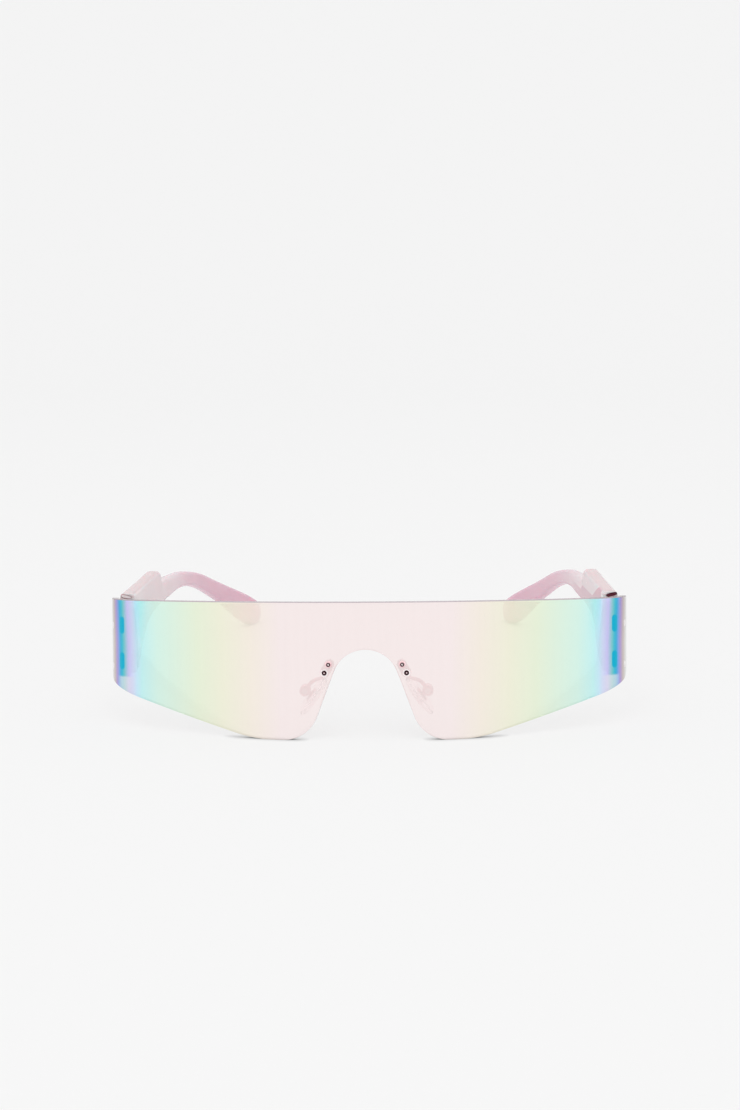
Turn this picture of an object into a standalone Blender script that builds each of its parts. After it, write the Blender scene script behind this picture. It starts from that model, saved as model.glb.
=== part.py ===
import math

import bmesh
import bpy
import numpy as np
from mathutils import Matrix, Vector

# Lens, measured on its outer face: s runs along the plan curve, h runs up the leaned face
lens_main_radius = 0.150
lens_main_angle = math.radians(25.5)
lens_end_radius = 0.017
lens_end_angle = math.radians(85)
lens_thickness = 0.002
lens_height = 0.0384
lens_lean = math.radians(7.7)
lens_lift = 0.00022
lens_edge_chamfer = 0.0003
lens_top_corner = 0.0012
lens_end_corner = 0.007
lens_bottom_flat = 0.00205
lens_bottom_radius = 0.040
lens_slope = math.radians(16.5)
notch_radius = 0.0094
notch_centre_height = 0.0157
notch_flank = math.radians(20.9)
lobe_radius = 0.010

# Fits and overruns
running_gap = 0.0001
shank_gap = 0.00005
seat_gap = 0.0001
cutter_overrun = 0.003

# Hinge: a vertical axis inside each lens end, set in from the lens side and back from its bend
pivot_inset = 0.00466
pivot_setback = 0.00154
knuckle_radius = 0.0022
knuckle_relief = 0.0004
knuckle_height = 0.0057
hinge_bottom = 0.0130
hinge_shank_radius = 0.00065
hinge_head_radius = 0.00125
hinge_head_height = 0.0008
hinge_head_room = 0.0007
hinge_trim = 0.0004
knuckle_arm_share = 0.4

# End piece plate on the inner face of the lens bend
plate_thickness = 0.0013
plate_start = math.radians(48)
plate_end = math.radians(78.5)
plate_low = 0.0160
plate_high = 0.0372
plate_corner = 0.0015
arm_start = math.radians(53.5)
arm_end = math.radians(75)

# Screws through the lens side walls
lens_screw_turn = math.radians(72)
lens_screw_lower = 0.0190
lens_screw_upper = 0.0307
lens_screw_radius = 0.0006
lens_screw_head_radius = 0.0011
lens_screw_head_depth = 0.0007
lens_screw_length = 0.0037

# Temple: lengths that its shares multiply
temple_lead = 0.0003
temple_side_gap = 0.0006
temple_reach = 0.1383
temple_top = 0.0362
temple_thickness = 0.0044
temple_corner = 0.0012
temple_lower_corner = 0.0016
temple_end_round = 0.0042
top_shares = [
    (0, 0.995), (0.12, 1.013), (0.213, 1.030), (0.224, 1.018), (0.233, 0.975), (0.250, 0.950),
    (0.296, 0.926), (0.339, 0.909), (0.397, 0.889), (0.469, 0.861), (0.542, 0.808), (0.628, 0.726),
    (0.715, 0.612), (0.801, 0.492), (0.888, 0.367), (0.946, 0.271), (0.986, 0.180), (1.0, 0.104),
]
low_shares = [
    (0, 0.350), (0.018, 0.362), (0.038, 0.420), (0.060, 0.500), (0.085, 0.580), (0.115, 0.652),
    (0.155, 0.708), (0.21, 0.738), (0.296, 0.752), (0.383, 0.750), (0.469, 0.724), (0.542, 0.677),
    (0.628, 0.583), (0.715, 0.452), (0.801, 0.300), (0.859, 0.175), (0.910, 0.061), (0.946, 0.006),
    (0.964, -0.004), (0.989, 0.033), (1.0, 0.084),
]
outer_shares = [(0, 1.0), (0.253, 0.940), (0.542, 0.879), (0.715, 0.8097), (0.859, 0.729), (1.0, 0.6307)]
thickness_shares = [(0, 1.0), (0.296, 0.955), (0.542, 0.818), (1.0, 0.818)]
tip_round_share = 0.036
tip_least_share = 0.17
corner_limit_share = 0.9
least_station_share = 0.0008

# Nose bracket: stadium plate behind the lens, pins, wire arm, pad box
pin_upper_s = 0.01015
pin_upper_h = 0.02105
pin_lower_s = 0.01140
pin_lower_h = 0.01870
bracket_radius = 0.00135
bracket_thickness = 0.0008
pin_radius = 0.0004
pin_proud = 0.0002
bush_wall = 0.0002
nose_hole_radius = 0.0007
nose_shank_radius = 0.0006
nose_head_radius = 0.00078
nose_head_height = 0.0004
washer_radius = 0.00098
washer_thickness = 0.00022
wire_radius = 0.00055
wire_handle = 0.0034
wire_drop_share = 0.9
wire_sink_share = 0.3
wire_back_share = 0.45
box_centre_x = 0.0171
box_centre_y = 0.0115
box_centre_z = 0.0120
box_radius = 0.0015
box_length = 0.0030
slot_radius = 0.00125
slot_width = 0.0016
pad_screw_radius = 0.0004
pad_head_radius = 0.0008
pad_head_height = 0.0004

# Nose pads
pad_length = 0.0127
pad_width = 0.0074
pad_thickness = 0.0018
pad_tilt = math.radians(36)
pad_splay = math.radians(12)
pad_clear = 0.00015
pad_power = 2.4
core_length = 0.0040
core_width = 0.0020
core_depth = 0.00065
pocket_gap = 0.00015
lug_radius = 0.0011
lug_width = 0.0013
neck_width = 0.0011
pad_ring_shares = (0.35, 0.62, 0.82, 0.94)
pad_dome_power = 3
pad_back_power = 8

# Slots in the screw heads
slot_share = 0.24
slot_depth_share = 0.5
crown_share = 0.3

# Mesh fineness
notch_steps = 14
corner_steps = 10
round_steps = 32
small_steps = 16
wire_steps = 12
bend_steps = 16
section_steps = 4
sharp_angle = math.radians(32)

lens_break = lens_main_radius * lens_main_angle
lens_half = lens_break + lens_end_radius * (lens_end_angle - lens_main_angle)
end_centre_x = (lens_main_radius - lens_end_radius) * math.sin(lens_main_angle)
end_centre_y = lens_main_radius - (lens_main_radius - lens_end_radius) * math.cos(lens_main_angle)
lens_half_width = end_centre_x + lens_end_radius
pivot_x = lens_half_width - pivot_inset
pivot_y = end_centre_y + pivot_setback
temple_front = pivot_y - temple_lead
temple_back = temple_front + temple_reach
temple_half_span = lens_half_width - lens_thickness - temple_side_gap
lower_knuckle_top = hinge_bottom + knuckle_height - running_gap
temple_knuckle_low = hinge_bottom + knuckle_height
temple_knuckle_top = temple_knuckle_low + knuckle_height
upper_knuckle_low = temple_knuckle_top + running_gap
upper_knuckle_top = upper_knuckle_low + knuckle_height


def clear_scene():
    for item in list(bpy.data.objects):
        bpy.data.objects.remove(item, do_unlink=True)


def add_material(name, colour, roughness, metallic=0, transmission=0, coat=0):
    material = bpy.data.materials.new(name)
    material.use_nodes = True
    material.diffuse_color = (*colour, 1)
    shader = material.node_tree.nodes["Principled BSDF"]
    shader.inputs["Base Color"].default_value = (*colour, 1)
    shader.inputs["Roughness"].default_value = roughness
    shader.inputs["Metallic"].default_value = metallic
    shader.inputs["Transmission Weight"].default_value = transmission
    shader.inputs["Coat Weight"].default_value = coat
    return material


def lens_material():
    return add_material("mirror_lens", (0.83, 0.72, 0.74), 0.06, 0.55, 0.25, 0.6)


def temple_material():
    return add_material("milky_pink_plastic", (0.76, 0.56, 0.58), 0.28, 0, 0.15)


def end_piece_material():
    return add_material("pink_end_piece_plastic", (0.72, 0.48, 0.52), 0.30)


def bracket_material():
    return add_material("pink_metal", (0.80, 0.52, 0.50), 0.28, 0.9)


def screw_material():
    return add_material("steel_screw", (0.62, 0.58, 0.58), 0.30, 1)


def bush_material():
    return add_material("dark_bush", (0.10, 0.08, 0.09), 0.45)


def washer_material():
    return add_material("washer_plastic", (0.60, 0.50, 0.52), 0.40)


def pad_material():
    return add_material("clear_silicone", (0.88, 0.86, 0.84), 0.25, 0, 0.8)


def core_material():
    return add_material("clear_core_plastic", (0.82, 0.80, 0.80), 0.20, 0, 0.6)


# Builds an object from points and faces given for the right side in the shared frame
def add_object(name, shape, side, origin, material=None):
    points, faces = shape
    mesh = bpy.data.meshes.new(name)
    moved = [(side * (p[0] - origin[0]), p[1] - origin[1], p[2] - origin[2]) for p in points]
    mesh.from_pydata(moved, [], faces)
    work = bmesh.new()
    work.from_mesh(mesh)
    bmesh.ops.recalc_face_normals(work, faces=work.faces)
    work.to_mesh(mesh)
    work.free()
    for face in mesh.polygons:
        face.use_smooth = True
    mesh.set_sharp_from_angle(angle=sharp_angle)
    item = bpy.data.objects.new(name, mesh)
    item.location = (side * origin[0], origin[1], origin[2])
    bpy.context.scene.collection.objects.link(item)
    if material:
        mesh.materials.append(material)
    return item


# A hidden helper joined to its body by an exact Boolean
def combine(body, label, shape, side, origin, operation):
    tool = add_object(body.name + "_" + label, shape, side, origin)
    tool.parent = body
    tool.location = (0, 0, 0)
    tool.hide_render = True
    tool.display_type = "WIRE"
    change = body.modifiers.new(label, "BOOLEAN")
    change.solver = "EXACT"
    change.operation = operation
    change.object = tool


def cut(body, label, shape, side, origin):
    combine(body, label, shape, side, origin, "DIFFERENCE")


def join(body, label, shape, side, origin):
    combine(body, label, shape, side, origin, "UNION")


def circle(radius, steps, centre=(0, 0)):
    turns = [2 * math.pi * i / steps for i in range(steps)]
    return [(centre[0] + radius * math.cos(t), centre[1] + radius * math.sin(t)) for t in turns]


def prism(outline, low, high, frame):
    count = len(outline)
    points = [frame @ Vector((a, b, low)) for a, b in outline]
    points += [frame @ Vector((a, b, high)) for a, b in outline]
    faces = [tuple(reversed(range(count))), tuple(range(count, 2 * count))]
    for i in range(count):
        j = (i + 1) % count
        faces.append((i, j, j + count, i + count))
    return points, faces


def cylinder(radius, low, high, frame, steps=small_steps):
    return prism(circle(radius, steps), low, high, frame)


def block(size_a, size_b, low, high, frame):
    a = size_a / 2
    b = size_b / 2
    return prism([(-a, -b), (a, -b), (a, b), (-a, b)], low, high, frame)


# A turned solid: profile points (radius, height), first and last on the axis
def turned(profile, frame, steps=small_steps):
    points = [frame @ Vector((0, 0, profile[0][1]))]
    rings = []
    for radius, height in profile[1:-1]:
        rings.append(range(len(points), len(points) + steps))
        points += [frame @ Vector((a, b, height)) for a, b in circle(radius, steps)]
    points.append(frame @ Vector((0, 0, profile[-1][1])))
    last = len(points) - 1
    faces = []
    for i in range(steps):
        j = (i + 1) % steps
        faces.append((0, rings[0][j], rings[0][i]))
        for low, high in zip(rings, rings[1:]):
            faces.append((low[i], low[j], high[j], high[i]))
        faces.append((rings[-1][i], rings[-1][j], last))
    return points, faces


# A round ring with a hole, by its two radii and two heights
def ring_shape(inner, outer, low, high, frame, steps=small_steps):
    points = []
    for radius, height in ((inner, low), (outer, low), (outer, high), (inner, high)):
        points += [frame @ Vector((a, b, height)) for a, b in circle(radius, steps)]
    faces = []
    for row in range(4):
        other = (row + 1) % 4
        for i in range(steps):
            j = (i + 1) % steps
            faces.append((row * steps + i, row * steps + j, other * steps + j, other * steps + i))
    return points, faces


def bezier(start, start_handle, end_handle, end, steps):
    path = []
    for i in range(steps + 1):
        t = i / steps
        u = 1 - t
        path.append(
            u * u * u * start + 3 * u * u * t * start_handle + 3 * u * t * t * end_handle + t * t * t * end
        )
    return path


# A round wire along a path, its rings turned along without twist
def wire(path, radius, steps=wire_steps):
    heading = (path[1] - path[0]).normalized()
    across = heading.orthogonal().normalized()
    points = []
    for i, place in enumerate(path):
        before = path[max(i - 1, 0)]
        after = path[min(i + 1, len(path) - 1)]
        fresh = (after - before).normalized()
        across = (heading.rotation_difference(fresh) @ across).normalized()
        heading = fresh
        second = heading.cross(across)
        points += [place + a * across + b * second for a, b in circle(radius, steps)]
    faces = [tuple(reversed(range(steps))), tuple(range(len(points) - steps, len(points)))]
    for row in range(len(path) - 1):
        for i in range(steps):
            j = (i + 1) % steps
            faces.append((row * steps + i, row * steps + j, (row + 1) * steps + j, (row + 1) * steps + i))
    return points, faces


# Lens surface: plan curve of two arcs, leaned back about the table line
def plan_angle(s):
    if s <= lens_break:
        return s / lens_main_radius
    return lens_main_angle + (s - lens_break) / lens_end_radius


def plan_point(s, depth):
    angle = plan_angle(s)
    x = lens_main_radius * math.sin(angle)
    y = lens_main_radius * (1 - math.cos(angle))
    if s > lens_break:
        x = end_centre_x + lens_end_radius * math.sin(angle)
        y = end_centre_y - lens_end_radius * math.cos(angle)
    return x - depth * math.sin(angle), y + depth * math.cos(angle)


def on_lens(s, h, depth):
    x, y = plan_point(abs(s), depth)
    x = math.copysign(x, s)
    back = y * math.cos(lens_lean) + h * math.sin(lens_lean)
    up = h * math.cos(lens_lean) - y * math.sin(lens_lean) + lens_lift
    return Vector((x, back, up))


# The height up the lens that lies at a given height over the table
def lens_height_at(s, depth, up):
    y = plan_point(s, depth)[1]
    return (up - lens_lift + y * math.sin(lens_lean)) / math.cos(lens_lean)


def s_at(angle):
    return lens_break + lens_end_radius * (angle - lens_main_angle)


# A frame on the lens face: first axis up-tilted in the face, third axis inwards
def lens_frame(s, h, turn=0):
    angle = plan_angle(s)
    along = Vector((math.cos(angle), math.sin(angle) * math.cos(lens_lean), -math.sin(angle) * math.sin(lens_lean)))
    up = Vector((0, math.sin(lens_lean), math.cos(lens_lean)))
    inward = along.cross(up) * -1
    first = up * math.cos(turn) - along * math.sin(turn)
    second = inward.cross(first)
    frame = Matrix((first, second, inward)).transposed().to_4x4()
    frame.translation = on_lens(s, h, 0)
    return frame


def arc(centre_s, centre_h, radius, start, end, steps, outwards):
    rows = []
    for turn in np.linspace(start, end, steps + 1):
        a = math.sin(turn)
        b = -math.cos(turn)
        rows.append((centre_s + radius * a, centre_h + radius * b, outwards * a, outwards * b))
    return rows


def straight(first, last, steps):
    rows = []
    for share in np.linspace(0, 1, steps + 1)[1:-1]:
        rows.append(tuple(a + share * (b - a) for a, b in zip(first, last)))
    return rows


# Lower edge of the lens from the middle of the notch to the outer end: s, h, outward normal
def lower_edge():
    flank = math.pi / 2 - notch_flank
    lobe_s = (notch_radius + lobe_radius + (notch_centre_height - lobe_radius) * math.sin(notch_flank))
    lobe_s /= math.cos(notch_flank)
    notch = arc(0, notch_centre_height, notch_radius, math.pi, math.pi - flank, notch_steps, -1)
    lobe = arc(lobe_s, lobe_radius, lobe_radius, -flank, 0, corner_steps, 1)
    outer_s = lobe_s + lens_bottom_flat
    outer = arc(outer_s, lens_bottom_radius, lens_bottom_radius, 0, lens_slope, corner_steps // 2, 1)
    foot_s, foot_h = outer[-1][:2]
    centre_s = lens_half - lens_end_corner
    touch_s = centre_s + lens_end_corner * math.sin(lens_slope)
    touch_h = foot_h + (touch_s - foot_s) * math.tan(lens_slope)
    centre_h = touch_h + lens_end_corner * math.cos(lens_slope)
    corner = arc(centre_s, centre_h, lens_end_corner, lens_slope, math.pi / 2, corner_steps, 1)
    bend_h = foot_h + (lens_break - foot_s) * math.tan(lens_slope)
    bend = (lens_break, bend_h, outer[-1][2], outer[-1][3])
    rows = notch + straight(notch[-1], lobe[0], corner_steps // 2) + lobe
    rows += outer + straight(outer[-1], bend, corner_steps) + [bend]
    return rows + straight(bend, corner[0], bend_steps) + corner


def upper_edge(s):
    start = lens_half - lens_top_corner
    if s <= start:
        return s, lens_height, 0, 1
    a = (s - start) / lens_top_corner
    b = math.sqrt(max(0, 1 - a * a))
    return s, lens_height - lens_top_corner + lens_top_corner * b, a, b


# One cross-section of the lens: eight points round face, chamfers, edges and back
def lens_column(low, top, side):
    def at(edge, inset, depth):
        s = edge[0] - inset * edge[2]
        h = edge[1] - inset * edge[3]
        return on_lens(side * s, h, depth)

    c = lens_edge_chamfer
    t = lens_thickness
    return [
        at(low, c, 0), at(top, c, 0), at(top, 0, c), at(top, 0, t - c),
        at(top, c, t), at(low, c, t), at(low, 0, t - c), at(low, 0, c),
    ]


def lens_shape():
    right = lower_edge()
    points = []
    for low in reversed(right[1:]):
        points += lens_column(low, upper_edge(low[0]), -1)
    for low in right:
        points += lens_column(low, upper_edge(low[0]), 1)
    columns = len(points) // 8
    faces = []
    for column in range(columns - 1):
        for row in range(8):
            a = column * 8 + row
            b = column * 8 + (row + 1) % 8
            faces.append((a, b, b + 8, a + 8))
    for start in (0, (columns - 1) * 8):
        faces.append((start, start + 1, start + 2, start + 7))
        faces.append((start + 7, start + 2, start + 3, start + 6))
        faces.append((start + 6, start + 3, start + 4, start + 5))
    return points, faces


def nose_frame():
    s = (pin_upper_s + pin_lower_s) / 2
    h = (pin_upper_h + pin_lower_h) / 2
    turn = math.atan2(pin_lower_s - pin_upper_s, pin_upper_h - pin_lower_h)
    return lens_frame(s, h, turn)


def pin_offset():
    return math.hypot(pin_lower_s - pin_upper_s, pin_upper_h - pin_lower_h) / 2


def shifted(frame, first):
    return frame @ Matrix.Translation((first, 0, 0))


def side_screw_frame(h):
    return lens_frame(s_at(lens_screw_turn), h)


def table_cutter():
    size = 4 * temple_reach
    return block(size, size, -cutter_overrun, 0, Matrix.Identity(4))


def countersink(frame, gap):
    radius = lens_screw_radius + gap
    head = lens_screw_head_radius + gap
    deep = lens_screw_head_depth
    return turned(
        [(0, -cutter_overrun), (head, -cutter_overrun), (head, 0), (radius, deep),
         (radius, lens_screw_length + cutter_overrun), (0, lens_screw_length + cutter_overrun)],
        frame,
    )


def build_lens():
    origin = Vector((0, 0, 0))
    lens = add_object("lens", lens_shape(), 1, origin, lens_material())
    cut(lens, "table", table_cutter(), 1, origin)
    for side, word in ((-1, "left"), (1, "right")):
        for label, first in (("upper", pin_offset()), ("lower", -pin_offset())):
            hole = cylinder(
                nose_hole_radius, -cutter_overrun, lens_thickness + cutter_overrun, shifted(nose_frame(), first)
            )
            cut(lens, f"nose_{label}_{word}", hole, side, origin)
        for label, h in (("upper", lens_screw_upper), ("lower", lens_screw_lower)):
            cut(lens, f"side_{label}_{word}", countersink(side_screw_frame(h), shank_gap), side, origin)


# End piece: curved plate behind the lens bend
def plate_shape():
    near = lens_thickness + seat_gap
    far = near + plate_thickness
    outline = []
    columns = []
    for share in np.linspace(0, 1, bend_steps + 1):
        columns.append(s_at(plate_start) + share * (s_at(plate_end) - s_at(plate_start)))
    for s in columns:
        inset = 0
        edge = min(s - columns[0], columns[-1] - s)
        if edge < plate_corner:
            inset = plate_corner - math.sqrt(max(0, plate_corner ** 2 - (plate_corner - edge) ** 2))
        outline.append((s, plate_low + inset, plate_high - inset))
    points = []
    for s, low, high in outline:
        points += [on_lens(s, low, near), on_lens(s, high, near), on_lens(s, high, far), on_lens(s, low, far)]
    faces = [(0, 1, 2, 3)]
    for column in range(len(outline) - 1):
        for row in range(4):
            a = column * 4 + row
            b = column * 4 + (row + 1) % 4
            faces.append((a, b, b + 4, a + 4))
    last = len(points) - 4
    faces.append((last, last + 1, last + 2, last + 3))
    return points, faces


# Hinge knuckle on its arm, in plan: the arm ends inside the plate and keeps outboard of the folding temple
def knuckle_outline(middle):
    depth = lens_thickness + seat_gap + plate_thickness / 2
    outline = []
    for turn in np.linspace(arm_start, arm_end, bend_steps // 2):
        s = s_at(turn)
        place = on_lens(s, lens_height_at(s, depth, middle), depth)
        outline.append((place.x, place.y))
    trim = temple_front - hinge_trim
    drop = pivot_y - trim
    begin = -math.asin(drop / knuckle_radius)
    end = math.pi + math.acos(knuckle_arm_share)
    for turn in np.linspace(begin, end, small_steps):
        outline.append((pivot_x + knuckle_radius * math.cos(turn), pivot_y + knuckle_radius * math.sin(turn)))
    return outline


def build_end_piece(side, word):
    origin = Vector((pivot_x, pivot_y, 0))
    level = Matrix.Identity(4)
    body = add_object("end_piece_" + word, plate_shape(), side, origin, end_piece_material())
    size = 2 * temple_top
    behind = Matrix.Translation((pivot_x, temple_front - hinge_trim + size / 2, 0))
    cut(body, "behind", block(size, size, -size, size, behind), side, origin)
    axis = Matrix.Translation((pivot_x, pivot_y, 0))
    swing = cylinder(knuckle_radius + knuckle_relief, 0, size, axis, round_steps)
    cut(body, "swing_room", swing, side, origin)
    for label, low, high in (
        ("lower_knuckle", hinge_bottom, lower_knuckle_top),
        ("upper_knuckle", upper_knuckle_low, upper_knuckle_top),
    ):
        join(body, label, prism(knuckle_outline((low + high) / 2), low, high, level), side, origin)
    hole = cylinder(hinge_shank_radius + shank_gap, 0, temple_top, axis)
    cut(body, "pivot_hole", hole, side, origin)
    for label, h in (("upper_hole", lens_screw_upper), ("lower_hole", lens_screw_lower)):
        hole = cylinder(
            lens_screw_radius + shank_gap, 0, lens_screw_length + running_gap, side_screw_frame(h)
        )
        cut(body, label, hole, side, origin)


# A driver slot across a screw head whose face lies at the given height
def cut_slot(body, side, origin, frame, radius, face, deep):
    wide = radius * slot_share * 2
    low, high = sorted((face - math.copysign(cutter_overrun, deep), face + deep))
    cut(body, "slot", block(4 * radius, wide, low, high, frame), side, origin)


def build_lens_screw(side, word, label, h):
    frame = side_screw_frame(h)
    origin = frame.translation.copy()
    profile = [
        (0, 0), (lens_screw_head_radius, 0), (lens_screw_radius, lens_screw_head_depth),
        (lens_screw_radius, lens_screw_length - running_gap), (0, lens_screw_length - running_gap),
    ]
    body = add_object(f"lens_screw_{label}_{word}", turned(profile, frame), side, origin, screw_material())
    cut_slot(body, side, origin, frame, lens_screw_head_radius, 0, lens_screw_head_depth * slot_depth_share)


def build_hinge_screw(side, word):
    origin = Vector((pivot_x, pivot_y, hinge_bottom))
    frame = Matrix.Translation(origin)
    seat = upper_knuckle_top - hinge_bottom + seat_gap
    top = seat + hinge_head_height
    crown = hinge_head_height * crown_share
    profile = [
        (0, 0), (hinge_shank_radius, 0), (hinge_shank_radius, seat), (hinge_head_radius, seat),
        (hinge_head_radius, top - crown), (hinge_head_radius - crown, top), (0, top),
    ]
    body = add_object("hinge_screw_" + word, turned(profile, frame), side, origin, screw_material())
    cut_slot(body, side, origin, frame, hinge_head_radius, top, -hinge_head_height * slot_depth_share)


# Smooth curve through share points that never overshoots them
def smooth(shares, at):
    x = np.array([row[0] for row in shares])
    y = np.array([row[1] for row in shares])
    step = np.diff(x)
    slope = np.diff(y) / step
    tangent = np.zeros(len(x))
    tangent[0] = slope[0]
    tangent[-1] = slope[-1]
    for i in range(1, len(x) - 1):
        if slope[i - 1] * slope[i] > 0:
            first = 2 * step[i] + step[i - 1]
            second = step[i] + 2 * step[i - 1]
            tangent[i] = (first + second) / (first / slope[i - 1] + second / slope[i])
    i = min(max(int(np.searchsorted(x, at)) - 1, 0), len(step) - 1)
    t = (at - x[i]) / step[i]
    rise = y[i] * (1 + 2 * t) * (1 - t) ** 2 + y[i + 1] * t * t * (3 - 2 * t)
    lean = tangent[i] * t * (1 - t) ** 2 - tangent[i + 1] * t * t * (1 - t)
    return float(rise + lean * step[i])


# Corner arcs of one temple section: outer low, outer top, inner top, inner low
def section_outline(half_wide, half_high, corner, low_corner):
    rows = []
    corners = (
        (1, -1, -math.pi / 2, low_corner), (1, 1, 0, corner),
        (-1, 1, math.pi / 2, corner), (-1, -1, math.pi, corner),
    )
    for sign_x, sign_z, start, wanted in corners:
        radius = min(wanted, corner_limit_share * half_wide, corner_limit_share * half_high)
        for i in range(section_steps + 1):
            turn = start + math.pi / 2 * i / section_steps
            rows.append((
                sign_x * (half_wide - radius) + radius * math.cos(turn),
                sign_z * (half_high - radius) + radius * math.sin(turn),
            ))
    return rows


# Shares of the reach where sections stand: closer at the front foot, at the step and at the tip
def temple_stations():
    foot_share = low_shares[6][0]
    step_shares = (top_shares[1][0] + top_shares[2][0]) / 2, top_shares[6][0]
    rows = set(np.linspace(0, 1, 30))
    rows |= set(np.linspace(0, foot_share, 10))
    rows |= set(np.linspace(*step_shares, 10))
    rows |= {1 - (1 - t) ** 2 * tip_round_share for t in np.linspace(0, 1, 8)}
    kept = [0.0]
    for row in sorted(rows):
        if row - kept[-1] > least_station_share:
            kept.append(float(row))
    if 1 - kept[-1] > 0:
        kept[-1] = 1.0
    return kept


def temple_shape():
    points = []
    stations = temple_stations()
    for share in stations:
        y = temple_front + temple_reach * share
        top = temple_top * smooth(top_shares, share)
        low = temple_top * smooth(low_shares, share)
        outer = temple_half_span * smooth(outer_shares, share)
        wide = temple_thickness * smooth(thickness_shares, share)
        middle = outer - wide / 2
        past = (y - (temple_back - temple_end_round)) / temple_end_round
        if past > 0:
            wide *= max(tip_least_share, math.sqrt(max(0, 1 - past ** 2)))
        for a, b in section_outline(wide / 2, (top - low) / 2, temple_corner, temple_lower_corner):
            points.append(Vector((middle + a, y, (top + low) / 2 + b)))
    count = len(points) // len(stations)
    faces = [tuple(range(count)), tuple(range(len(points) - count, len(points)))]
    for row in range(len(stations) - 1):
        for i in range(count):
            j = (i + 1) % count
            faces.append((row * count + i, row * count + j, (row + 1) * count + j, (row + 1) * count + i))
    return points, faces


def build_temple(side, word):
    origin = Vector((pivot_x, pivot_y, 0))
    axis = Matrix.Translation(origin)
    body = add_object("temple_" + word, temple_shape(), side, origin, temple_material())
    low = temple_knuckle_low - knuckle_relief
    high = temple_knuckle_top + knuckle_relief
    join(body, "knuckle", cylinder(knuckle_radius, low, high, axis, round_steps), side, origin)
    relief = knuckle_radius + knuckle_relief
    cut(body, "lower_relief", cylinder(relief, 0, temple_knuckle_low, axis, round_steps), side, origin)
    room = upper_knuckle_top + hinge_head_height + hinge_head_room
    cut(body, "upper_relief", cylinder(relief, temple_knuckle_top, room, axis, round_steps), side, origin)
    hole = cylinder(hinge_shank_radius + shank_gap, hinge_bottom, upper_knuckle_top, axis)
    cut(body, "pivot_hole", hole, side, origin)
    cut(body, "table", table_cutter(), side, origin)


def box_centre():
    return Vector((box_centre_x, box_centre_y, box_centre_z))


# Rocking frame of a pad: first axis down its length, second away from the nose, third fore and aft
def rock_frame():
    down = Vector((math.sin(pad_tilt), 0, -math.cos(pad_tilt)))
    away = Vector((math.cos(pad_tilt), 0, math.sin(pad_tilt)))
    frame = Matrix((down, away, down.cross(away))).transposed().to_4x4()
    frame.translation = box_centre()
    return frame


# Pad frame: first axis down its length, second across its width, third away from the nose
def pad_frame():
    rock = rock_frame()
    down = rock.col[0].to_3d()
    away = rock.col[1].to_3d()
    back = Vector((0, 1, 0))
    normal = away * math.cos(pad_splay) - back * math.sin(pad_splay)
    across = normal.cross(down)
    frame = Matrix((down, across, normal)).transposed().to_4x4()
    frame.translation = box_centre() - away * (box_radius + pad_clear + pad_thickness / 2 + splay_room())
    return frame


def splay_room():
    return box_length / 2 * math.sin(pad_splay)


def stadium(half, radius, steps):
    rows = []
    for centre, start in ((half, -math.pi / 2), (-half, math.pi / 2)):
        for i in range(steps + 1):
            turn = start + math.pi * i / steps
            rows.append((centre + radius * math.cos(turn), radius * math.sin(turn)))
    return rows


def u_outline(radius, reach):
    rows = []
    for i in range(small_steps + 1):
        turn = math.pi * i / small_steps
        rows.append((radius * math.cos(turn), radius * math.sin(turn)))
    return rows + [(-radius, -reach), (radius, -reach)]


def build_nose_bracket(side, word):
    frame = nose_frame()
    near = lens_thickness + seat_gap
    far = near + bracket_thickness
    origin = frame.translation.copy()
    plate = prism(stadium(pin_offset(), bracket_radius, small_steps // 2), near, far, frame)
    body = add_object("nose_bracket_" + word, plate, side, origin, bracket_material())
    pin = cylinder(pin_radius, -pin_proud, (near + far) / 2, shifted(frame, -pin_offset()))
    join(body, "pin", pin, side, origin)
    rock = rock_frame()
    upwards = -rock.col[0].to_3d()
    start = frame @ Vector((-pin_offset() - bracket_radius / 2, 0, (near + far) / 2))
    leaving = frame.col[2].to_3d() - frame.col[0].to_3d() * wire_drop_share
    first = start + wire_handle * leaving.normalized()
    end = box_centre() + upwards * (box_radius - wire_radius * wire_sink_share)
    arriving = upwards + Vector((0, wire_back_share, 0))
    second = end + wire_handle * arriving.normalized()
    join(body, "arm", wire(bezier(start, first, second, end, bend_steps), wire_radius), side, origin)
    half = box_length / 2
    join(body, "pad_box", cylinder(box_radius, -half, half, rock, round_steps), side, origin)
    slot = prism(u_outline(slot_radius, box_radius + cutter_overrun), -slot_width / 2, slot_width / 2, rock)
    cut(body, "slot", slot, side, origin)
    reach = half + cutter_overrun
    cut(body, "screw_hole", cylinder(pad_screw_radius + shank_gap, -reach, reach, rock), side, origin)
    hole = cylinder(nose_shank_radius + shank_gap, 0, far + cutter_overrun, shifted(frame, pin_offset()))
    cut(body, "nose_hole", hole, side, origin)


def build_nose_screw(side, word):
    frame = shifted(nose_frame(), pin_offset())
    origin = frame.translation.copy()
    seat = -(2 * seat_gap + washer_thickness)
    crown = seat - nose_head_height
    end = lens_thickness + seat_gap + bracket_thickness + running_gap
    brim = nose_head_height * crown_share
    profile = [
        (0, crown), (nose_head_radius - brim, crown), (nose_head_radius, crown + brim),
        (nose_head_radius, seat), (nose_shank_radius, seat), (nose_shank_radius, end), (0, end),
    ]
    body = add_object("nose_screw_" + word, turned(profile, frame), side, origin, screw_material())
    cut_slot(body, side, origin, frame, nose_head_radius, crown, nose_head_height * slot_depth_share)


def build_nose_washer(side, word):
    frame = shifted(nose_frame(), pin_offset())
    origin = frame.translation.copy()
    inner = nose_shank_radius + shank_gap
    shape = ring_shape(inner, washer_radius, -seat_gap - washer_thickness, -seat_gap, frame)
    add_object("nose_washer_" + word, shape, side, origin, washer_material())


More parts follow.
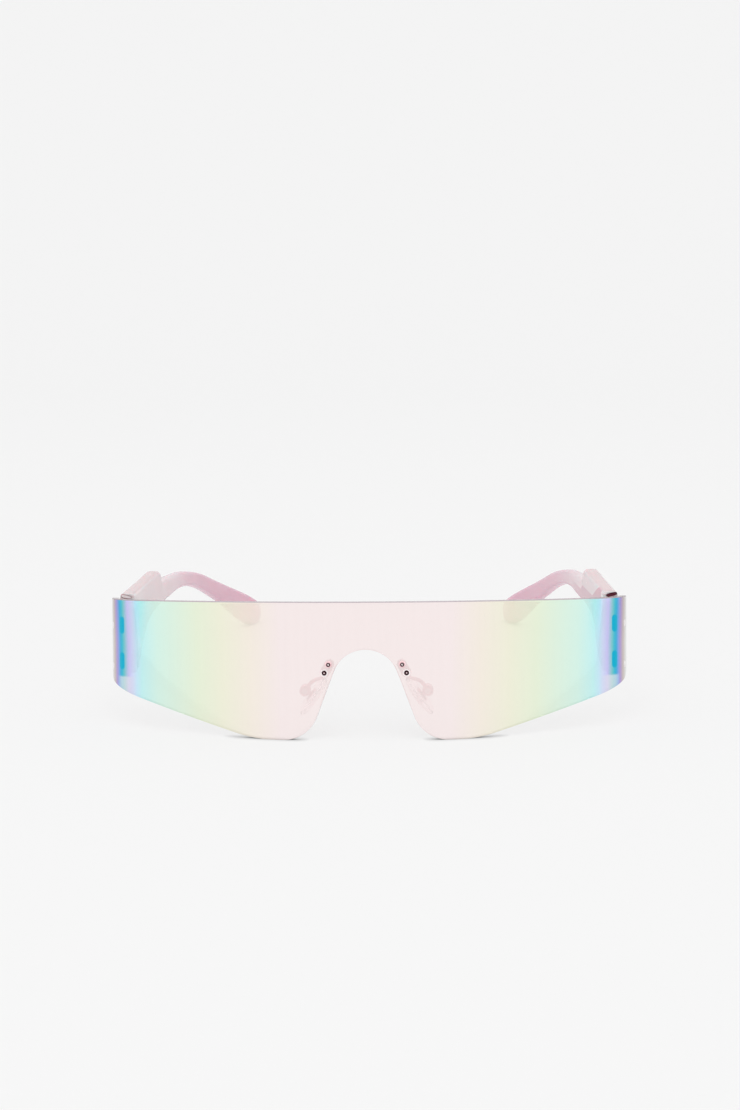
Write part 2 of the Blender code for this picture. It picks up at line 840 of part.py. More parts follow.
def build_pin_bush(side, word):
    frame = shifted(nose_frame(), -pin_offset())
    origin = frame.translation.copy()
    inner = pin_radius + shank_gap
    shape = ring_shape(inner, inner + bush_wall, -pin_proud / 2, lens_thickness, frame)
    add_object("pin_bush_" + word, shape, side, origin, bush_material())


def build_pad_screw(side, word):
    rock = rock_frame()
    origin = box_centre()
    half = box_length / 2
    facing = rock @ Matrix.Rotation(math.pi, 4, "X") if rock.col[2].y > 0 else rock
    seat = half + seat_gap
    crown = seat + pad_head_height
    brim = pad_head_height * crown_share
    profile = [
        (0, -half), (pad_screw_radius, -half), (pad_screw_radius, seat), (pad_head_radius, seat),
        (pad_head_radius, crown - brim), (pad_head_radius - brim, crown), (0, crown),
    ]
    body = add_object("pad_screw_" + word, turned(profile, facing), side, origin, screw_material())
    cut_slot(body, side, origin, facing, pad_head_radius, crown, -pad_head_height * slot_depth_share)


# Pad: rounded oval, domed to the nose and flatter behind
def pad_shape():
    frame = pad_frame()
    points = [frame @ Vector((0, 0, -pad_thickness / 2))]
    layers = [(q, -1, pad_dome_power) for q in pad_ring_shares] + [(1, 0, 1)]
    layers += [(q, 1, pad_back_power) for q in reversed(pad_ring_shares)]
    for q, sign, power in layers:
        height = sign * pad_thickness / 2 * math.sqrt(1 - q ** power) if sign else 0
        for i in range(round_steps):
            turn = 2 * math.pi * i / round_steps
            a = math.copysign(abs(math.cos(turn)) ** (2 / pad_power), math.cos(turn))
            b = math.copysign(abs(math.sin(turn)) ** (2 / pad_power), math.sin(turn))
            points.append(frame @ Vector((q * a * pad_length / 2, q * b * pad_width / 2, height)))
    points.append(frame @ Vector((0, 0, pad_thickness / 2)))
    last = len(points) - 1
    faces = []
    for i in range(round_steps):
        j = (i + 1) % round_steps
        faces.append((0, 1 + i, 1 + j))
        for row in range(len(layers) - 1):
            a = 1 + row * round_steps
            faces.append((a + i, a + j, a + j + round_steps, a + i + round_steps))
        faces.append((last - round_steps + i, last - round_steps + j, last))
    return points, faces


def build_nose_pad(side, word):
    origin = box_centre()
    body = add_object("nose_pad_" + word, pad_shape(), side, origin, pad_material())
    frame = pad_frame()
    floor = pad_thickness / 2 - core_depth - seat_gap
    pocket = block(
        core_length + 2 * pocket_gap, core_width + 2 * pocket_gap, floor, pad_thickness / 2 + cutter_overrun, frame
    )
    cut(body, "pocket", pocket, side, origin)


def build_pad_core(side, word):
    origin = box_centre()
    frame = pad_frame()
    rock = rock_frame()
    top = pad_thickness / 2
    body = add_object(
        "pad_core_" + word, block(core_length, core_width, top - core_depth, top, frame), side, origin, core_material()
    )
    half_neck = neck_width / 2
    foot = -(box_radius + 2 * splay_room() + pad_clear + core_depth / 2)
    neck = [(-half_neck, 0), (-half_neck, foot), (half_neck, foot), (half_neck, 0)]
    join(body, "neck", prism(neck, -lug_width / 2, lug_width / 2, rock), side, origin)
    half_lug = lug_width / 2 - running_gap / 10
    lug = cylinder(lug_radius, -half_lug, half_lug, rock, round_steps)
    join(body, "lug", lug, side, origin)
    hole = cylinder(pad_screw_radius + shank_gap, -box_length, box_length, rock)
    cut(body, "screw_hole", hole, side, origin)


# Moves everything so that the origin is under the middle of the outer box
def centre_on_box():
    bpy.context.view_layer.update()
    graph = bpy.context.evaluated_depsgraph_get()
    low = math.inf
    high = -math.inf
    for item in bpy.data.objects:
        if item.hide_render:
            continue
        shown = item.evaluated_get(graph)
        for corner in shown.bound_box:
            y = (shown.matrix_world @ Vector(corner)).y
            low = min(low, y)
            high = max(high, y)
    base = bpy.data.objects.new("frame_origin", None)
    bpy.context.scene.collection.objects.link(base)
    base.location = (0, -(low + high) / 2, 0)
    for item in list(bpy.data.objects):
        if item.parent is None and item is not base:
            item.parent = base


def main():
    clear_scene()
    build_lens()
    for side, word in ((-1, "left"), (1, "right")):
        build_end_piece(side, word)
        build_lens_screw(side, word, "upper", lens_screw_upper)
        build_lens_screw(side, word, "lower", lens_screw_lower)
        build_hinge_screw(side, word)
        build_temple(side, word)
        build_nose_bracket(side, word)
        build_nose_screw(side, word)
        build_nose_washer(side, word)
        build_pin_bush(side, word)
        build_pad_screw(side, word)
        build_nose_pad(side, word)
        build_pad_core(side, word)
    centre_on_box()


main()
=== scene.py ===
import math

import bmesh
import bpy
import numpy as np
from mathutils import Matrix, Vector


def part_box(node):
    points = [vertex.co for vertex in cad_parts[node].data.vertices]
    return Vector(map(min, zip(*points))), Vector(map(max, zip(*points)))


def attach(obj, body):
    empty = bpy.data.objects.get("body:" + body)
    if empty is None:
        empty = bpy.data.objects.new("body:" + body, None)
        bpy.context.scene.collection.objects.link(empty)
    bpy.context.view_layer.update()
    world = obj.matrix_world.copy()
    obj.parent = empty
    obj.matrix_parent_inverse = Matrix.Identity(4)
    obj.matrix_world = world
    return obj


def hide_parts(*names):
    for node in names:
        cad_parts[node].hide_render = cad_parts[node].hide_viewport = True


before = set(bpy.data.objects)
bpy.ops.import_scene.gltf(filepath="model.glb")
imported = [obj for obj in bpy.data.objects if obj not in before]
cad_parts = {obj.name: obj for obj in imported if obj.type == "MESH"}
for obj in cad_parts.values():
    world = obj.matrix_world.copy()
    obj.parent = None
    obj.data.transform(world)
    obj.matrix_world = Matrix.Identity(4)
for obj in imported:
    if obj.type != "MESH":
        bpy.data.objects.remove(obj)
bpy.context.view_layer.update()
print("frame loaded")

templeLow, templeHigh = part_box("temple_right")
mm = 0.001


# Colour and node helpers

# sRGB hex to linear, with full alpha
def linearColor(hexText):
    parts = [int(hexText[i:i + 2], 16) / 255 for i in (1, 3, 5)]
    return [c / 12.92 if c <= 0.04045 else ((c + 0.055) / 1.055) ** 2.4 for c in parts] + [1]


def newMaterial(name):
    material = bpy.data.materials.new(name)
    material.use_nodes = True
    tree = material.node_tree
    return material, tree, tree.nodes["Principled BSDF"]


# Adds a node: settings are its properties, values its sockets, links (socket, source node, output)
def addNode(tree, kind, settings=None, values=None, links=()):
    node = tree.nodes.new(kind)
    for name, value in (settings or {}).items():
        setattr(node, name, value)
    for name, value in (values or {}).items():
        node.inputs[name].default_value = value
    for name, source, output in links:
        tree.links.new(source.outputs[output], node.inputs[name])
    return node


# Sets sockets by their names, with underscores for the blanks
def setShader(shader, **values):
    for name, value in values.items():
        shader.inputs[name.replace("_", " ")].default_value = value


# A colour ramp from (place, hex colour) stops
def addRamp(tree, stops, source, output):
    ramp = addNode(tree, "ShaderNodeValToRGB", links=[("Fac", source, output)])
    elements = ramp.color_ramp.elements
    while len(elements) < len(stops):
        elements.new(0.5)
    for element, (place, hexText) in zip(elements, stops):
        element.position = place
        element.color = linearColor(hexText)
    return ramp


# Noise on object coordinates; a scale of 1000 makes grains of about 1 mm
def addNoise(tree, scale, detail=3, roughness=0.5, stretch=(1, 1, 1)):
    coords = addNode(tree, "ShaderNodeTexCoord")
    mapping = addNode(tree, "ShaderNodeMapping", links=[("Vector", coords, "Object")])
    mapping.inputs["Scale"].default_value = stretch
    return addNode(
        tree, "ShaderNodeTexNoise",
        values={"Scale": scale, "Detail": detail, "Roughness": roughness},
        links=[("Vector", mapping, "Vector")],
    )


def addBump(tree, shader, height, strength, distance):
    bump = addNode(
        tree, "ShaderNodeBump", values={"Strength": strength, "Distance": distance},
        links=[("Height", height, 0)],
    )
    tree.links.new(bump.outputs["Normal"], shader.inputs["Normal"])


# A mask that rises smoothly from 0 to 1 while a value goes from the first limit to the second
def maskBetween(tree, source, output, first, second):
    return addNode(
        tree, "ShaderNodeMapRange", {"interpolation_type": "SMOOTHSTEP"},
        {"From Min": first, "From Max": second}, [("Value", source, output)],
    )


# Where all masks overlap: their product
def overlapOf(tree, masks):
    whole = masks[0]
    for mask in masks[1:]:
        whole = addNode(
            tree, "ShaderNodeMath", {"operation": "MULTIPLY"}, links=[(0, whole, 0), (1, mask, 0)],
        )
    return whole


# Lays a second colour over the first where the mask is 1
def layOver(tree, mask, color, over):
    mix = addNode(tree, "ShaderNodeMixRGB", links=[("Fac", mask, 0), ("Color1", color, "Color")])
    if isinstance(over, str):
        mix.inputs["Color2"].default_value = linearColor(over)
    else:
        tree.links.new(over.outputs["Color"], mix.inputs["Color2"])
    return mix


# Maps a noise to a narrow span of roughness
def roughnessSpan(tree, shader, noise, low, high):
    span = addNode(
        tree, "ShaderNodeMapRange", values={"To Min": low, "To Max": high},
        links=[("Value", noise, 0)],
    )
    tree.links.new(span.outputs[0], shader.inputs["Roughness"])


# Mirror-coated polycarbonate. The vacuum coating gets thicker towards the wrapped ends, so its colour
# runs through the bands named here. Places are shares of the arc from the middle of the lens.
coatingColors = {
    "blush": "#fcefee", "peach": "#faf1e4", "butter": "#f4f4dd", "lime": "#ebf6dc", "mint": "#d8f9ec",
    "aqua": "#c6f8f8", "skyBlue": "#ccf0ff", "iceBlue": "#d8e4ff", "lilac": "#d4d0ff",
    "teal": "#88d4da", "cyan": "#4ccce0", "azure": "#40bae8", "periwinkle": "#88b0f4",
    "violet": "#b8a2de", "warmGrey": "#cec0bc", "paleGrey": "#e4e6e4",
}
coatingPlaces = [
    (0.00, "blush"), (0.28, "blush"), (0.38, "peach"), (0.48, "butter"), (0.57, "lime"),
    (0.72, "mint"), (0.78, "aqua"), (0.80, "skyBlue"), (0.815, "iceBlue"), (0.837, "lilac"),
    (0.858, "teal"), (0.869, "cyan"), (0.882, "azure"), (0.893, "periwinkle"), (0.908, "violet"),
    (0.93, "warmGrey"), (0.965, "paleGrey"), (1.00, "paleGrey"),
]
# Rows and column where the hinge knuckles stand behind the band, where its cyan is painted deeper as their
# shade
knuckleRows = [
    (0.463, "#000000"), (0.497, "#ffffff"), (0.588, "#ffffff"), (0.622, "#000000"),
    (0.728, "#000000"), (0.762, "#ffffff"), (0.853, "#ffffff"), (0.887, "#000000"),
]
knuckleColumn = [(0.850, "#000000"), (0.868, "#ffffff"), (0.878, "#ffffff"), (0.896, "#000000")]
# Spans are shares of the lens height, of the arc or of a mask, each from where it starts to where it
# ends. The two deeper tints come in over their first span and go out over their second, which for
# the ends lies past the lens.
coatingDims = {
    "topSpan": (0.67, 0.94), "topShift": 0.006,
    "deepAqua": ("#eafeff", (0.75, 0.79), (0.82, 0.80)),
    "deepEnd": ("#f2eff2", (0.86, 0.95), (1.2, 1.1)),
    # lowSpan, paleStart, paleEnd, paleAmount and paintedBacklightColor place the painted light below the end
    # pieces
    "lowSpan": (0.438, 0.418), "paleStart": (0.80, 0.845), "paleEnd": (0.91, 0.876),
    "paleAmount": 0.57, "paintedBacklightColor": "#ecebef",
    "patchRim": (0.38, 0.62), "knuckleShadeColor": "#00bcde",
    "coverShare": (0.77, 0.81), "cover": (0.79, 0.92), "streaks": (0.976, 0.999), "streakCount": 60,
}


# Bands run by the share of arc from the middle. Gives the colour and the share of arc.
def bandColor(tree):
    d = coatingDims
    uv = addNode(tree, "ShaderNodeUVMap", {"uv_map": "arc"})
    parts = addNode(tree, "ShaderNodeSeparateXYZ", links=[("Vector", uv, "UV")])
    centred = addNode(
        tree, "ShaderNodeMath", {"operation": "MULTIPLY_ADD"}, {1: 2, 2: -1}, [(0, parts, "X")],
    )
    share = addNode(tree, "ShaderNodeMath", {"operation": "ABSOLUTE"}, links=[(0, centred, 0)])
    # Along the upper edge the coating is a little thicker, which moves the bands outwards and makes
    # the aqua and the ends deeper
    high = addNode(
        tree, "ShaderNodeMapRange", values={"From Min": d["topSpan"][0], "From Max": d["topSpan"][1]},
        links=[("Value", parts, "Y")],
    )
    place = addNode(
        tree, "ShaderNodeMath", {"operation": "MULTIPLY_ADD"}, {1: -d["topShift"]},
        [(0, high, 0), (2, share, 0)],
    )
    bands = addRamp(tree, [(at, coatingColors[name]) for at, name in coatingPlaces], place, 0)
    for tint, rise, fall in (d["deepAqua"], d["deepEnd"]):
        here = overlapOf(tree, [
            high, maskBetween(tree, share, 0, *rise), maskBetween(tree, share, 0, *fall),
        ])
        bands = addNode(
            tree, "ShaderNodeMixRGB", {"blend_type": "MULTIPLY"}, {"Color2": linearColor(tint)},
            [("Fac", here, 0), ("Color1", bands, "Color")],
        )
    # Painted light: below the end pieces the deep bands are painted paler, for the light that comes through
    # from behind
    low = overlapOf(tree, [
        maskBetween(tree, parts, "Y", *d["lowSpan"]),
        maskBetween(tree, share, 0, *d["paleStart"]), maskBetween(tree, share, 0, *d["paleEnd"]),
    ])
    pale = addNode(
        tree, "ShaderNodeMath", {"operation": "MULTIPLY"}, {1: d["paleAmount"]}, [(0, low, 0)],
    )
    bands = layOver(tree, pale, bands, d["paintedBacklightColor"])
    # Painted shade: where the two hinge knuckles stand behind the band, its cyan is painted deeper
    rows = addRamp(tree, knuckleRows, parts, "Y")
    column = addRamp(tree, knuckleColumn, share, 0)
    patch = maskBetween(tree, overlapOf(tree, [rows, column]), 0, *d["patchRim"])
    return layOver(tree, patch, bands, d["knuckleShadeColor"]), share


# Clear plastic lets most of a lamp's light pass, so shadow rays meet a tinted transparent shader
def passLight(tree, shader, tint):
    path = addNode(tree, "ShaderNodeLightPath")
    clear = addNode(tree, "ShaderNodeBsdfTransparent", values={"Color": linearColor(tint)})
    mix = addNode(
        tree, "ShaderNodeMixShader", links=[(0, path, "Is Shadow Ray"), (1, shader, 0), (2, clear, 0)],
    )
    tree.links.new(mix.outputs[0], tree.nodes["Material Output"].inputs["Surface"])


def mirrorMaterial():
    d = coatingDims
    material, tree, shader = newMaterial("mirror_coated_polycarbonate")
    ramp, share = bandColor(tree)
    # Faint upright coating streaks, about 1.5 mm apart, in the base colour only
    uv = addNode(tree, "ShaderNodeUVMap", {"uv_map": "arc"})
    mapping = addNode(tree, "ShaderNodeMapping", links=[("Vector", uv, "UV")])
    mapping.inputs["Scale"].default_value = (d["streakCount"], 0.5, 1)
    streaks = addNode(
        tree, "ShaderNodeTexNoise", values={"Scale": 2, "Detail": 3}, links=[("Vector", mapping, "Vector")],
    )
    span = addNode(
        tree, "ShaderNodeMapRange", values={"To Min": d["streaks"][0], "To Max": d["streaks"][1]},
        links=[("Value", streaks, 0)],
    )
    tinted = addNode(
        tree, "ShaderNodeVectorMath", {"operation": "SCALE"},
        links=[("Vector", ramp, "Color"), ("Scale", span, 0)],
    )
    tree.links.new(tinted.outputs[0], shader.inputs["Base Color"])
    setShader(shader, Roughness=0.035, IOR=1.58, Transmission_Weight=1.0)
    # The coating covers more towards the wrapped ends, which makes the colours there fuller
    start, end = d["coverShare"]
    low, high = d["cover"]
    cover = addNode(
        tree, "ShaderNodeMapRange",
        values={"From Min": start, "From Max": end, "To Min": low, "To Max": high},
        links=[("Value", share, 0)],
    )
    tree.links.new(cover.outputs["Result"], shader.inputs["Metallic"])
    passLight(tree, shader, "#ebe4e4")
    return material


# The uncoated back of the moulding: glossy clear polycarbonate with hardly a colour of its own
def lensBackMaterial():
    material, tree, shader = newMaterial("clear_polycarbonate_back")
    setShader(
        shader, Base_Color=linearColor("#fdfafa"), Roughness=0.02, IOR=1.58, Transmission_Weight=1.0,
    )
    passLight(tree, shader, "#fbf8f8")
    return material


# Painted reflection: the cut edge that faces down or inwards is coloured near white for the white of the
# table it takes up
def lensEdgeMaterial():
    material, tree, shader = newMaterial("polished_polycarbonate_edge")
    noise = addNoise(tree, 900)
    roughnessSpan(tree, shader, noise, 0.12, 0.22)
    setShader(shader, Base_Color=linearColor("#fdf7f7"), IOR=1.5, Transmission_Weight=0.1)
    return material


# Countersunk rims round the pin holes, left matt white by the cutter
def rimMaterial():
    material, tree, shader = newMaterial("matt_cut_rim")
    noise = addNoise(tree, 2500)
    roughnessSpan(tree, shader, noise, 0.4, 0.6)
    setShader(shader, Base_Color=linearColor("#fbf3f3"), IOR=1.5)
    return material


# The top edge shows the full depth of the plastic, so it reads as a mauve grey line
def lensTopMaterial():
    material, tree, shader = newMaterial("polycarbonate_top_edge")
    noise = addNoise(tree, 900)
    roughnessSpan(tree, shader, noise, 0.14, 0.26)
    setShader(shader, Base_Color=linearColor("#b3a6ac"), IOR=1.58, Transmission_Weight=0.25)
    return material


# Painted shade and painted highlight on the milky block: its inner face is painted a deeper pink, as shade,
# below a line that climbs to the top edge near the hinge, and the front corner of that face is painted
# white, as a highlight. The line's height is peakHigh less climbRate times the share past peakShare,
# never under level, and it falls by armDrop behind the block. Shares run along the temple, and each span
# goes from where its mask starts to where it is full.
innerShadeDims = {
    "peakShare": 0.056, "peakHigh": 36.4 * mm, "climbRate": 64 * mm, "level": 31.9 * mm,
    "armShare": (0.243, 0.262), "armDrop": 1.6 * mm, "faceFront": 67.1 * mm, "faceRate": 16.6 * mm,
    "faceEdge": (1.2 * mm, 0.5 * mm), "lineEdge": (0.12 * mm, -0.25 * mm),
    "frontFade": (0.028, 0.036), "backFade": (0.46, 0.26),
    "cornerEdge": (34.9 * mm, 34.5 * mm), "cornerFade": (0.032, 0.027),
    # shade is the painted shade colour, corner the painted highlight colour of the front corner
    "shade": "#dcb1bf", "corner": "#fffafa",
}


def innerShade(tree, parts, share, color, side):
    d = innerShadeDims
    start, end = d["armShare"]
    climb = addNode(
        tree, "ShaderNodeMath", {"operation": "MULTIPLY_ADD"},
        {1: -d["climbRate"], 2: d["peakHigh"] + d["climbRate"] * d["peakShare"]}, [(0, share, 0)],
    )
    level = addNode(tree, "ShaderNodeMath", {"operation": "MAXIMUM"}, {1: d["level"]}, [(0, climb, 0)])
    drop = addNode(
        tree, "ShaderNodeMapRange",
        values={"From Min": start, "From Max": end, "To Min": 0, "To Max": d["armDrop"]},
        links=[("Value", share, 0)],
    )
    line = addNode(tree, "ShaderNodeMath", {"operation": "SUBTRACT"}, links=[(0, level, 0), (1, drop, 0)])
    over = addNode(tree, "ShaderNodeMath", {"operation": "SUBTRACT"}, links=[(0, parts, "Z"), (1, line, 0)])
    face = addNode(
        tree, "ShaderNodeMath", {"operation": "MULTIPLY_ADD"}, {1: d["faceRate"], 2: -d["faceFront"]},
        [(0, share, 0)],
    )
    outward = addNode(
        tree, "ShaderNodeMath", {"operation": "MULTIPLY_ADD"}, {1: side}, [(0, parts, "X"), (2, face, 0)],
    )
    inner = maskBetween(tree, outward, 0, *d["faceEdge"])
    shaded = overlapOf(tree, [
        maskBetween(tree, over, 0, *d["lineEdge"]), inner,
        maskBetween(tree, share, 0, *d["frontFade"]), maskBetween(tree, share, 0, *d["backFade"]),
    ])
    # The painted highlight on the front corner of the inner face
    corner = overlapOf(tree, [
        maskBetween(tree, parts, "Z", *d["cornerEdge"]), inner, maskBetween(tree, share, 0, *d["cornerFade"]),
    ])
    return layOver(tree, corner, layOver(tree, shaded, color, d["shade"]), d["corner"])


# Injection-moulded milky nylon: pale at the block, deeper pink along the falling arm, with light
# scattered inside that softens its edges
templeFinish = {
    "stops": [
        (0.0, "#f1e7e9"), (0.10, "#ede1e4"), (0.26, "#e8d6da"), (0.36, "#e4cdd4"), (0.55, "#e0b7c7"),
        (1.0, "#e1b2c5"),
    ],
    # topShadeColor is the painted shade of the block's top face
    "topShadeColor": "#e1cdcf", "topTurn": (0.55, 0.9), "topShare": (0.26, 0.21), "clouds": (0.95, 1.03),
}


def templeMaterial(name, shadeSide=0):
    d = templeFinish
    material, tree, shader = newMaterial(name)
    coords = addNode(tree, "ShaderNodeTexCoord")
    parts = addNode(tree, "ShaderNodeSeparateXYZ", links=[("Vector", coords, "Object")])
    share = addNode(
        tree, "ShaderNodeMapRange", values={"From Min": templeLow.y, "From Max": templeHigh.y},
        links=[("Value", parts, "Y")],
    )
    # Painted shade: the top face of the block, picked out by its upward normal, is painted a little greyer
    normal = addNode(tree, "ShaderNodeSeparateXYZ", links=[("Vector", coords, "Normal")])
    topFaceShade = overlapOf(tree, [
        maskBetween(tree, normal, "Z", *d["topTurn"]), maskBetween(tree, share, 0, *d["topShare"]),
    ])
    ramp = layOver(tree, topFaceShade, addRamp(tree, d["stops"], share, 0), d["topShadeColor"])
    # Painted shade and painted highlight on the inner face of the right block
    if shadeSide:
        ramp = innerShade(tree, parts, share, ramp, shadeSide)
    clouds = addNoise(tree, 90, 4)
    span = addNode(
        tree, "ShaderNodeMapRange", values={"To Min": d["clouds"][0], "To Max": d["clouds"][1]},
        links=[("Value", clouds, 0)],
    )
    tinted = addNode(
        tree, "ShaderNodeVectorMath", {"operation": "SCALE"},
        links=[("Vector", ramp, "Color"), ("Scale", span, 0)],
    )
    tree.links.new(tinted.outputs[0], shader.inputs["Base Color"])
    setShader(
        shader, Subsurface_Weight=0.55, Subsurface_Scale=0.004, Subsurface_Radius=(1.0, 0.62, 0.68),
        IOR=1.53, Transmission_Weight=0.12, Coat_Weight=0.12, Coat_Roughness=0.08,
        Sheen_Weight=0.06, Sheen_Roughness=0.3,
    )
    roughnessSpan(tree, shader, addNoise(tree, 1400), 0.20, 0.30)
    addBump(tree, shader, addNoise(tree, 2600), 0.04, 0.05 * mm)
    return material


# Injection-moulded nylon with a fine grain: satin, and light glows a little through it
def endPieceMaterial():
    material, tree, shader = newMaterial("pink_nylon_end_piece")
    noise = addNoise(tree, 1500)
    roughnessSpan(tree, shader, noise, 0.28, 0.4)
    addBump(tree, shader, noise, 0.05, 0.05 * mm)
    setShader(
        shader, Base_Color=linearColor("#cfa3ad"), Subsurface_Weight=0.4, Subsurface_Scale=0.002,
        Subsurface_Radius=(1.0, 0.6, 0.65), IOR=1.53,
    )
    return material


# Plated wire and plate under a rose lacquer: reads as warm pink with a thin clear gloss
def pinkMetalMaterial():
    material, tree, shader = newMaterial("pink_plated_metal")
    noise = addNoise(tree, 2200)
    roughnessSpan(tree, shader, noise, 0.20, 0.34)
    setShader(
        shader, Base_Color=linearColor("#ffa8b4"), Metallic=0.2, Coat_Weight=0.3, Coat_Roughness=0.1,
    )
    return material


# Turned screw steel, bare or lacquered in the given colour: fine lathe marks spread its highlights
def steelMaterial(name, color, metal=1.0, index=1.5):
    material, tree, shader = newMaterial(name)
    noise = addNoise(tree, 3000, stretch=(1, 1, 6))
    roughnessSpan(tree, shader, noise, 0.22, 0.38)
    setShader(shader, Base_Color=linearColor(color), Metallic=metal, IOR=index)
    return material


# Moulded dark nylon: a dull ring that hides the joint between pin and hole
def darkBushMaterial():
    material, tree, shader = newMaterial("dark_nylon_bush")
    noise = addNoise(tree, 3000)
    roughnessSpan(tree, shader, noise, 0.35, 0.5)
    setShader(shader, Base_Color=linearColor("#3a131f"), IOR=1.25)
    return material


# Punched pale nylon: a matt light ring under the screw head
def washerMaterial():
    material, tree, shader = newMaterial("pale_nylon_washer")
    noise = addNoise(tree, 3000)
    roughnessSpan(tree, shader, noise, 0.3, 0.45)
    setShader(shader, Base_Color=linearColor("#fbdfe2"), IOR=1.5)
    return material


# Cast clear silicone, frosted a little by its mould: a faint shape with what is behind it showing
def siliconeMaterial():
    material, tree, shader = newMaterial("clear_silicone")
    noise = addNoise(tree, 1200)
    roughnessSpan(tree, shader, noise, 0.10, 0.2)
    addBump(tree, shader, noise, 0.05, 0.05 * mm)
    setShader(shader, Base_Color=linearColor("#fff2f3"), IOR=1.36, Transmission_Weight=0.98)
    passLight(tree, shader, "#f8f2f2")
    return material


# Stiff rose nylon inside the pad: a satin pink shape in the clear silicone
def coreMaterial():
    material, tree, shader = newMaterial("rose_nylon_core")
    noise = addNoise(tree, 1500)
    roughnessSpan(tree, shader, noise, 0.15, 0.25)
    setShader(shader, Base_Color=linearColor("#fba9b4"), IOR=1.5, Transmission_Weight=0.1)
    return material


# Mesh helpers

# Joins rings of points into quads: grid is (rows, columns, 3), rows optionally closed into rings
def gridFaces(rows, columns, ring):
    a = np.arange(rows - 1)[:, None] * columns
    last = columns if ring else columns - 1
    i = np.arange(last)[None, :]
    j = (i + 1) % columns
    return np.stack([a + i, a + j, a + columns + j, a + columns + i], -1).reshape(-1, 4)


# A smooth-shaded piece from points and faces, turned to point outwards
def meshPiece(name, points, faces, materials, sharp=40, slots=None):
    mesh = bpy.data.meshes.new(name)
    corners = np.asarray(points, float).reshape(-1, 3).tolist()
    mesh.from_pydata(corners, [], [list(map(int, face)) for face in faces])
    for material in materials:
        mesh.materials.append(material)
    if slots is not None:
        mesh.polygons.foreach_set("material_index", np.asarray(slots, np.int32))
    mesh.polygons.foreach_set("use_smooth", np.ones(len(mesh.polygons), bool))
    piece = bpy.data.objects.new(name, mesh)
    bpy.context.scene.collection.objects.link(piece)
    work = bmesh.new()
    work.from_mesh(mesh)
    bmesh.ops.recalc_face_normals(work, faces=work.faces)
    work.to_mesh(mesh)
    work.free()
    mesh.set_sharp_from_angle(angle=math.radians(sharp))
    return piece


# A closed cylinder: two rings, place plus or minus half the length along the axis plus the radius
# times (cos, sin) of the turn across it
def cylinderCutter(place, axis, radius, length, steps=40):
    turn = np.linspace(0, 2 * math.pi, steps, endpoint=False)
    across = axis.orthogonal().normalized()
    second = axis.cross(across)
    rim = np.outer(np.cos(turn), across) + np.outer(np.sin(turn), second)
    low = np.array(place - axis * length / 2) + radius * rim
    high = np.array(place + axis * length / 2) + radius * rim
    faces = gridFaces(2, steps, True).tolist() + [list(range(steps)), list(range(steps, 2 * steps))]
    return np.concatenate([low, high]), faces


# Applies exact Booleans between a piece and hidden helpers, then removes the helpers
def carve(piece, steps, sharp=40, inside=None):
    helpers = []
    for operation, (points, faces) in steps:
        helper = meshPiece(piece.name + "_helper", points, faces, [inside] if inside else [])
        change = piece.modifiers.new("carve", "BOOLEAN")
        change.solver = "EXACT"
        change.material_mode = "TRANSFER" if inside else "INDEX"
        change.operation = operation
        change.object = helper
        helpers.append(helper)
    graph = bpy.context.evaluated_depsgraph_get()
    done = bpy.data.meshes.new_from_object(piece.evaluated_get(graph))
    piece.modifiers.clear()
    piece.data = done
    done.set_sharp_from_angle(angle=math.radians(sharp))
    for helper in helpers:
        bpy.data.objects.remove(helper, do_unlink=True)


# Lens: the outer face follows two arcs in plan and leans back about the table line

lensDims = {
    "mainRadius": 150 * mm, "mainAngle": math.radians(25.5), "endRadius": 17 * mm,
    "endAngle": math.radians(85), "thickness": 2 * mm, "height": 38.4 * mm,
    "lean": math.radians(7.7), "lift": 0.22 * mm, "round": 0.28 * mm,
    "topCorner": 1.2 * mm, "endCorner": 7 * mm, "bottomFlat": 2.05 * mm,
    "bottomRadius": 40 * mm, "slope": math.radians(16.5), "notchRadius": 9.4 * mm,
    "notchHeight": 15.7 * mm, "flank": math.radians(20.9), "lobeRadius": 10 * mm,
    "noseArc": 10.8 * mm, "pinHole": 0.7 * mm, "holeRun": 9 * mm, "rimRadius": 1.05 * mm, "rimDeep": 0.3 * mm,
    "frontDepth": 0.02 * mm,
}
# Hinge line against the lens end: how far in and how far behind, then how far the temple's front
# stands before it and the gap between temple and lens
hingeDims = {"inside": 4.66 * mm, "behind": 1.54 * mm, "front": 0.3 * mm, "sideGap": 0.6 * mm}
bendCentre = lensDims["mainRadius"] - lensDims["endRadius"]
lensBreak = lensDims["mainRadius"] * lensDims["mainAngle"]
lensHalf = lensBreak + lensDims["endRadius"] * (lensDims["endAngle"] - lensDims["mainAngle"])
lensHalfWidth = bendCentre * math.sin(lensDims["mainAngle"]) + lensDims["endRadius"]
lensEndY = lensDims["mainRadius"] - bendCentre * math.cos(lensDims["mainAngle"])
pivotX = lensHalfWidth - hingeDims["inside"]
pivotY = lensEndY + hingeDims["behind"]
templeFront = pivotY - hingeDims["front"]
templeReach = 138.3 * mm
frameShift = templeHigh.y - templeFront - templeReach


# Plan angle of the outer face at arc length s
def planAngle(s):
    s = np.abs(s)
    inner = s / lensDims["mainRadius"]
    outer = lensDims["mainAngle"] + (s - lensBreak) / lensDims["endRadius"]
    return np.where(s <= lensBreak, inner, outer)


